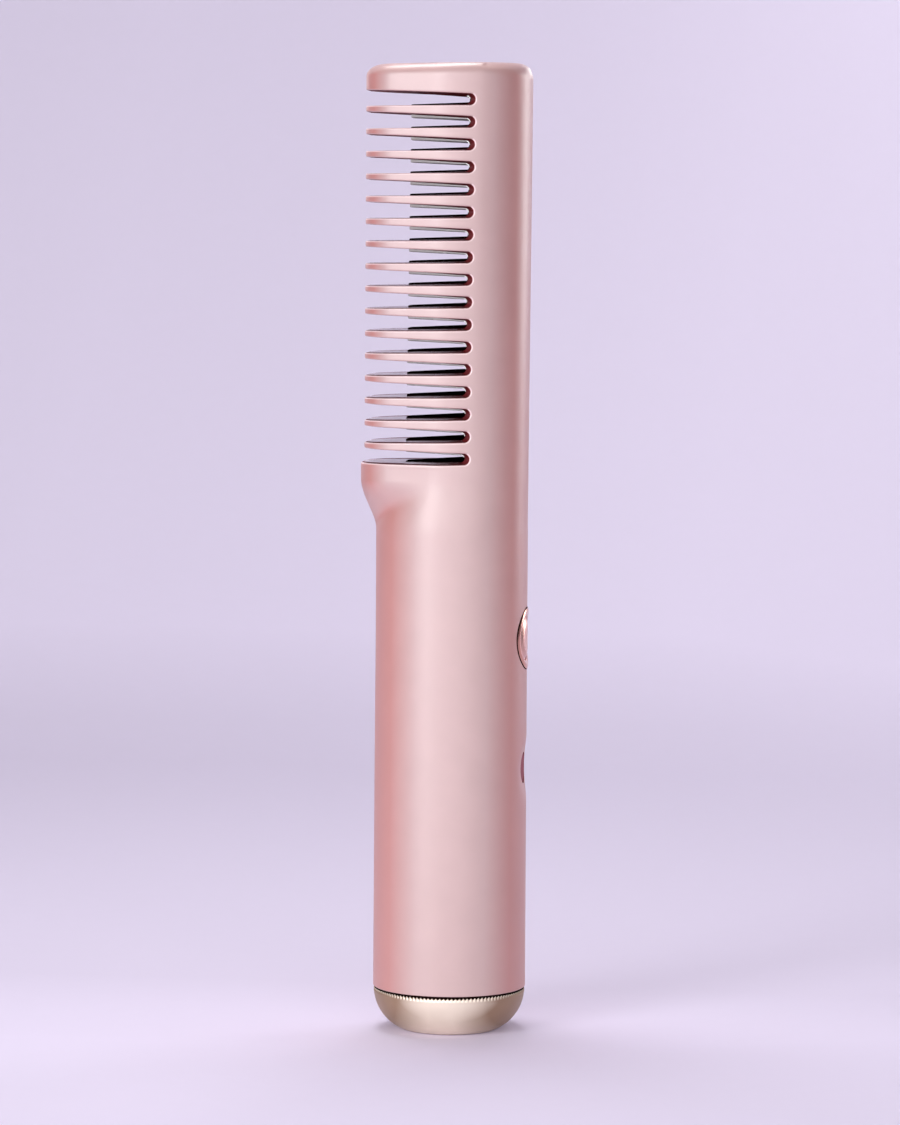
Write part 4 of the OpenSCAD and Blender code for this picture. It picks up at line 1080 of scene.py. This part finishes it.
def wall_lean_group():
    """Masks of a wall's lean, which steer the painted slant shade: 1 where it stands upright, or where it
    faces sideways, and the given least elsewhere."""
    group, given, out = new_group("wall_lean", {"Least": 0.25}, ("Upright", "Sideways"))
    normal = place_on(group, "Normal")
    up, aside = maths(group, "ABSOLUTE", normal["Z"]), maths(group, "ABSOLUTE", normal["X"])
    link(group, map_range(group, up, 0.15, 0.6, 1.0, given["Least"]), out["Upright"])
    link(group, map_range(group, aside, 0.15, 0.6, given["Least"], 1.0), out["Sideways"])
    return group


SPRAYED_GRAIN = sprayed_grain_group()
WALL_LEAN = wall_lean_group()


def use_group(tree, group, values):
    made = tree.nodes.new("ShaderNodeGroup")
    made.node_tree = group
    for label, value in values.items():
        made.inputs[label].default_value = value
    return made.outputs


def sprayed(tree, shader, per_metre, least_rough, most_rough, depth=0.0, strength=1.0):
    """Gives a finish its grain, as roughness and bump, and hands back the mask of its clouds."""
    grain = use_group(tree, SPRAYED_GRAIN, {"Grain per metre": per_metre, "Least roughness": least_rough,
                                            "Most roughness": most_rough})
    link(tree, grain["Roughness"], shader.inputs["Roughness"])
    if depth:
        bump = tree.nodes.new("ShaderNodeBump")
        bump.inputs["Distance"].default_value = depth
        bump.inputs["Strength"].default_value = strength
        link(tree, grain["Height"], bump.inputs["Height"])
        link(tree, bump.outputs["Normal"], shader.inputs["Normal"])
    return grain["Mask"]


def slant_flop_and_painted_shade(tree, low, high, least, lean="Upright"):
    """Share of a finish's second colour, a painted shade at a slant that in the lacquer is partly its own
    colour flop:
    it rises where a wall turns away from the eye, and less so where it doesn't lean as named."""
    facing = tree.nodes.new("ShaderNodeLayerWeight")
    facing.inputs["Blend"].default_value = 0.5
    turned = map_range(tree, facing.outputs["Facing"], low, high)
    return maths(tree, "MULTIPLY", turned, use_group(tree, WALL_LEAN, {"Least": least})[lean])


GRAIN_DEPTH = 0.00001
HEAD_PAINTED_SHADE = (0.91, 0.875, 0.89)        # painted shade: the lacquer is a little darker towards the head, to tone down its stronger highlights there
HEAD_SHADE_FROM, HEAD_SHADE_TO = 0.10, 0.19


def lacquer(name, square, slant, rough):
    """Pearl lacquer: paler where it's seen square on, salmon where it's seen at a slant; this is partly the
    lacquer's own colour flop and partly painted sheen and painted shade, and tops and undersides are kept
    paler as painted light.
    """
    made, tree, shader = material(name)
    clouds = sprayed(tree, shader, 7000, rough, rough + 0.04, GRAIN_DEPTH, 0.35)
    # partly the lacquer's own colour flop, partly painted shade at a slant; the upright mask keeps tops and
    # undersides paler as painted light
    pearl_flop_and_painted_shade = slant_flop_and_painted_shade(tree, 0.12, 0.40, 0.25)
    pale = mix(tree, clouds, square, times(square, 1.04))
    deep = mix(tree, clouds, slant, times(slant, 1.04))
    # painted shade: the lacquer's colour is darkened with height towards the head
    height = map_range(tree, place_on(tree)["Z"], HEAD_SHADE_FROM, HEAD_SHADE_TO)
    link(tree, mix(tree, height, mix(tree, pearl_flop_and_painted_shade, pale, deep), HEAD_PAINTED_SHADE, "MULTIPLY"),
         shader.inputs["Base Color"])
    shader.inputs["Specular IOR Level"].default_value = 0.94
    return made


def rose_painted_shade():
    """Dark rose where the lacquer stops, inside the slots and round the button's seat: a painted shade for
    those recesses.
    """
    made, tree, shader = material("rose_plastic_painted_shade")
    clouds = sprayed(tree, shader, 5000, 0.42, 0.5)
    link(tree, mix(tree, clouds, (0.16, 0.020, 0.024), (0.20, 0.027, 0.031)), shader.inputs["Base Color"])
    shader.inputs["Specular IOR Level"].default_value = 0.02
    return made


def tooth_tops_light_and_shade():
    """The teeth's upper sides: painted light, a pale glossy colour at the tips, and painted shade, a dark
    colour that takes over further into the slots.
    """
    made, tree, shader = material("teeth_tops_painted_light_and_shade")
    clouds = sprayed(tree, shader, 6000, 0.14, 0.2)
    tip_painted_light = mix(tree, clouds, (0.86, 0.70, 0.76), (0.92, 0.76, 0.82))
    plastic = mix(tree, clouds, (0.13, 0.010, 0.014), (0.17, 0.016, 0.020))
    # painted shade: the colour turns dark further into the slots along X
    inwards = map_range(tree, place_on(tree)["X"], -0.008, 0.002)
    link(tree, mix(tree, inwards, tip_painted_light, plastic), shader.inputs["Base Color"])
    shader.inputs["Specular IOR Level"].default_value = 0.9
    return made


def champagne_satin():
    """Satin anodised metal with painted highlight and shade: pale champagne where it's seen square on,
    deeper gold at a slant on the sides.
    """
    made, tree, shader = material("champagne_metal_painted_highlight_and_shade")
    clouds = sprayed(tree, shader, 9000, 0.4, 0.45, GRAIN_DEPTH, 0.3)
    # painted shade: deeper gold where the sides turn away sideways; painted highlight: pale champagne square
    # on
    slant = slant_flop_and_painted_shade(tree, 0.05, 0.30, 0.15, "Sideways")
    pale = mix(tree, clouds, (0.88, 0.77, 0.64), (0.92, 0.81, 0.68))
    deep = mix(tree, clouds, (0.31, 0.20, 0.13), (0.35, 0.23, 0.15))
    link(tree, mix(tree, slant, pale, deep), shader.inputs["Base Color"])
    shader.inputs["Metallic"].default_value = 0.42
    return made


def polished(name, colour, rough, metallic=1.0):
    """Polished or brushed metal."""
    made, tree, shader = material(name)
    clouds = sprayed(tree, shader, 12000, rough * 0.85, rough * 1.15)
    link(tree, mix(tree, clouds, times(colour, 0.93), colour), shader.inputs["Base Color"])
    shader.inputs["Metallic"].default_value = metallic
    return made


def comb_tops_painted_shade():
    """Black painted shade and painted dark reflection on the upper slopes of the metal teeth."""
    made, tree, shader = material("comb_tops_painted_dark")
    clouds = sprayed(tree, shader, 14000, 0.5, 0.6)
    link(tree, mix(tree, clouds, (0.003, 0.001, 0.001), (0.006, 0.003, 0.003)), shader.inputs["Base Color"])
    shader.inputs["Specular IOR Level"].default_value = 0.0
    return made


def plain_part(name, colour, rough, metallic=0.0, per_metre=4000, shine=0.5):
    """Moulded, printed or plated inner piece with a fine grain."""
    made, tree, shader = material(name)
    clouds = sprayed(tree, shader, per_metre, rough * 0.85, min(1.0, rough * 1.15), GRAIN_DEPTH * 2, 0.5)
    link(tree, mix(tree, clouds, times(colour, 0.86), colour), shader.inputs["Base Color"])
    shader.inputs["Metallic"].default_value = metallic
    shader.inputs["Specular IOR Level"].default_value = shine
    return made


def dress(piece, *finishes):
    """Gives a piece its finishes, in the order that its faces name them."""
    if len(finishes) == 1:
        piece.data.materials.clear()
    for made in finishes:
        piece.data.materials.append(made)


# each CAD node that is shown as it is: finish, colour, roughness and metallic
INNER = {
    "end_plug": ("black_plastic", (0.014, 0.006, 0.005), 0.6, 0),
    "comb_carrier": ("black_heat_plastic", (0.03, 0.03, 0.032), 0.55, 0),
    "heater_element": ("alumina_ceramic", (0.82, 0.80, 0.74), 0.55, 0),
    "insulation_strip": ("mica_strip", (0.55, 0.42, 0.20), 0.4, 0),
    "heater_clamp": ("spring_steel", (0.55, 0.56, 0.58), 0.3, 1),
    "clamp_screws": ("zinc_screws", (0.60, 0.60, 0.62), 0.28, 1),
    "thermal_fuse": ("fuse_can", (0.62, 0.50, 0.30), 0.3, 1),
    "temperature_sensor": ("sensor_bead", (0.45, 0.12, 0.05), 0.15, 0),
    "sensor_leads": ("sensor_sleeve", (0.70, 0.66, 0.12), 0.45, 0),
    "heater_leads": ("red_silicone", (0.50, 0.03, 0.02), 0.45, 0),
    "chassis": ("grey_frame_plastic", (0.05, 0.05, 0.055), 0.5, 0),
    "chassis_screws": ("zinc_screws_long", (0.60, 0.60, 0.62), 0.28, 1),
    "battery_cell": ("cell_wrap", (0.03, 0.10, 0.38), 0.35, 0),
    "battery_tabs": ("nickel_strip", (0.68, 0.66, 0.60), 0.3, 1),
    "battery_leads": ("black_silicone", (0.02, 0.02, 0.02), 0.45, 0),
    "main_board": ("green_board", (0.01, 0.10, 0.04), 0.35, 0),
    "board_screws": ("zinc_screws_board", (0.60, 0.60, 0.62), 0.28, 1),
    "tact_switch": ("switch_housing", (0.04, 0.04, 0.045), 0.4, 0),
    "switch_stem": ("switch_stem_orange", (0.75, 0.28, 0.04), 0.4, 0),
    "display_module": ("display_housing", (0.70, 0.70, 0.66), 0.4, 0),
    "power_inductor": ("ferrite_block", (0.06, 0.06, 0.065), 0.6, 0),
    "capacitors": ("ceramic_capacitors", (0.45, 0.32, 0.18), 0.45, 0),
    "charge_board": ("green_board_small", (0.01, 0.10, 0.04), 0.35, 0),
    "usb_socket": ("socket_steel", (0.66, 0.67, 0.69), 0.24, 1),
    "charge_board_screws": ("zinc_screws_charge", (0.60, 0.60, 0.62), 0.28, 1),
    "plug_screws": ("zinc_screws_plug", (0.60, 0.60, 0.62), 0.28, 1),
    "charge_leads": ("red_silicone_thin", (0.50, 0.03, 0.02), 0.45, 0),
}


# ------------------------------------------------------------------ making everything

# near-black painted shadow for the gaps round the cap's notches and the ring
painted_shadow_seat = plain_part("painted_shadow_seat", (0.010, 0.004, 0.003), 0.6, shine=0.0)
# the shells' lacquer carries painted sheen and shade by viewing angle, and painted shade towards the head
shell_finishes = (lacquer("rose_lacquer_pearl_and_painted_shade", (0.53, 0.368, 0.357), (0.53, 0.244, 0.222), 0.36),
                  rose_painted_shade(), tooth_tops_light_and_shade(),
                  # a lighter copy of the lacquer: painted highlight on the slots' rounded edges
                  lacquer("rose_lacquer_painted_edge_highlight", (0.80, 0.62, 0.62), (0.80, 0.52, 0.52), 0.3))
for shell_piece in make_shells():
    dress(shell_piece, *shell_finishes)
# the comb: painted dark on its upward faces, near-white steel as painted light below
dress(make_metal_comb(), comb_tops_painted_shade(), polished("comb_steel_painted_light", (0.97, 0.96, 0.95), 0.25, 0.12))
# the cap's colour carries a painted highlight and painted shade
dress(make_cap(), champagne_satin(), painted_shadow_seat)
dress(make_ring(), polished("rose_gold_polished", (0.74, 0.38, 0.29), 0.12), painted_shadow_seat)
dress(make_button(), polished("button_gold_satin", (0.74, 0.43, 0.36), 0.3))
dress(make_lens(), plain_part("smoked_rose_lens", (0.38, 0.14, 0.17), 0.3, per_metre=9000, shine=0.0))
for node_name, (finish, colour, rough, metallic) in INNER.items():
    dull = node_name in ("end_plug", "comb_carrier")
    dress(nodes[node_name], plain_part(finish, colour, rough, metallic, shine=0.0 if dull else 0.5))


# ------------------------------------------------------------------ camera, light and stage

CAMERA_SIDE = math.radians(7)          # how far round to the right the camera stands
CAMERA_DOWN = math.radians(4.443)
CAMERA_ROLL = math.radians(0.40)
CAMERA_FAR, CAMERA_HIGH = 1.085, 0.196
CAMERA_ASIDE = -0.00047                # sideways from the line through the middle
FOCAL_LENGTH = 146.34


def make_camera():
    """Level with the head, a little to the right and looking slightly down."""
    lens = bpy.data.cameras.new("camera")
    lens.sensor_width = 36
    lens.lens = FOCAL_LENGTH
    lens.clip_end = 50
    camera = bpy.data.objects.new("camera", lens)
    bpy.context.scene.collection.objects.link(camera)
    across, along = math.sin(CAMERA_SIDE), math.cos(CAMERA_SIDE)
    camera.location = (CAMERA_FAR * across + CAMERA_ASIDE * along,
                       -CAMERA_FAR * along + CAMERA_ASIDE * across, CAMERA_HIGH)
    camera.rotation_mode = "XYZ"
    turn = (Matrix.Rotation(CAMERA_SIDE, 3, "Z") @ Matrix.Rotation(math.pi / 2 - CAMERA_DOWN, 3, "X")
            @ Matrix.Rotation(CAMERA_ROLL, 3, "Z"))
    camera.rotation_euler = turn.to_euler()
    bpy.context.scene.camera = camera


def softbox(name, place, target, size, power):
    """A rectangular lamp that looks from one place at another, in watts."""
    lamp = bpy.data.lights.new(name, "AREA")
    lamp.shape = "RECTANGLE"
    lamp.size, lamp.size_y = size
    lamp.energy = power
    light = bpy.data.objects.new(name, lamp)
    bpy.context.scene.collection.objects.link(light)
    light.location = place
    aim = Vector(target) - Vector(place)
    light.rotation_euler = aim.to_track_quat("-Z", "Y").to_euler()


PAPER = (0.83, 0.758, 0.93)
PAPER_PAINTED_SHADE = 0.87                      # painted shade: the paper's tone at the sides, and a painted shadow on the floor behind the foot
PAPER_MIDDLE_X = -0.13
SIDES_FROM, SIDES_TO = 0.14, 0.42      # how far from that middle the painted shade at the sides starts and is full
WALL_Y, CURVE_R, WALL_H, STAGE_HALF = 1.2, 0.7, 3.0, 3.0


def lilac_paper():
    """Pale lilac paper, with painted shade at the sides and a painted shadow on the floor behind the foot.
    """
    made, tree, shader = material("lilac_paper")
    grain = {"Grain per metre": 900, "Least roughness": 0.9, "Most roughness": 0.9}
    clouds = use_group(tree, SPRAYED_GRAIN, grain)["Mask"]
    middle = mix(tree, clouds, times(PAPER, 0.995), PAPER)
    dark = mix(tree, clouds, times(PAPER, PAPER_PAINTED_SHADE - 0.005), times(PAPER, PAPER_PAINTED_SHADE))
    place = place_on(tree)
    # painted shade, growing towards the sides
    away = maths(tree, "ABSOLUTE", maths(tree, "ADD", place["X"], -PAPER_MIDDLE_X))
    # painted shadow on the floor just behind the foot
    behind = maths(tree, "MULTIPLY", map_range(tree, place["Y"], -0.03, 0.06),
                   map_range(tree, place["Z"], 0.0, 0.03, 1.0, 0.0))
    painted_shade_share = maths(tree, "MAXIMUM", map_range(tree, away, SIDES_FROM, SIDES_TO), behind)
    link(tree, mix(tree, painted_shade_share, middle, dark), shader.inputs["Base Color"])
    shader.inputs["Roughness"].default_value = 0.9
    shader.inputs["Specular IOR Level"].default_value = 0.0
    return made


def make_stage():
    """A seamless pale lilac sweep: floor, curve and wall."""
    floor_end = WALL_Y - CURVE_R
    profile = [(-2.0, 0.0), (floor_end, 0.0)]
    for i in range(1, 13):
        a = math.pi / 2 * i / 12
        profile.append((floor_end + CURVE_R * math.sin(a), CURVE_R * (1 - math.cos(a))))
    profile.append((WALL_Y, WALL_H))
    bm = bmesh.new()
    rings = [[bm.verts.new((x, y, z)) for x in (-STAGE_HALF, STAGE_HALF)] for y, z in profile]
    for a, b in zip(rings, rings[1:]):
        bm.faces.new((a[0], a[1], b[1], b[0])).smooth = True
    mesh = bpy.data.meshes.new("sweep")
    bm.to_mesh(mesh)
    bm.free()
    sweep = bpy.data.objects.new("sweep", mesh)
    bpy.context.scene.collection.objects.link(sweep)
    dress(sweep, lilac_paper())


def make_world():
    """A dim, even studio."""
    world = bpy.data.worlds.new("studio")
    world.use_nodes = True
    bpy.context.scene.world = world
    shade = world.node_tree.nodes["Background"]
    shade.inputs["Color"].default_value = (1.0, 0.985, 0.985, 1)
    shade.inputs["Strength"].default_value = 0.12


def on_side(turn, far, high):
    """Place at an angle to the left of the camera, in degrees, at a distance and height in metres."""
    angle = CAMERA_SIDE - math.pi / 2 - math.radians(turn)
    return far * math.cos(angle), far * math.sin(angle), high


AIM = (0, 0, 0.12)
# panels round the part: degrees to the left of the camera, and watts
FRONT_PANELS = {"key_left": (40, 14.4), "near_left": (20, 5.9), "front": (0, 4.7), "near_right": (-20, 4.1),
                "fill_right": (-40, 1.1)}
RIM_PANELS = {"rim_left": (150, 1.0), "rim_right": (-130, 3.6), "rim_far_right": (-160, 4.0)}
make_camera()
make_stage()
make_world()
for panel, (turn, watts) in FRONT_PANELS.items():
    softbox(panel, on_side(turn, 1.6, 0.45), AIM, (0.56, 0.9), watts)
for panel, (turn, watts) in RIM_PANELS.items():
    softbox(panel, on_side(turn, 1.15, 0.28), AIM, (0.4, 0.5), watts)
softbox("top_back", on_side(160, 0.12, 0.55), AIM, (0.22, 0.16), 1.2)
softbox("paper_wash", (0, 0.25, 1.7), (0, WALL_Y, 0.5), (2.4, 0.4), 5.2)
bpy.context.scene.view_settings.view_transform = "Standard"
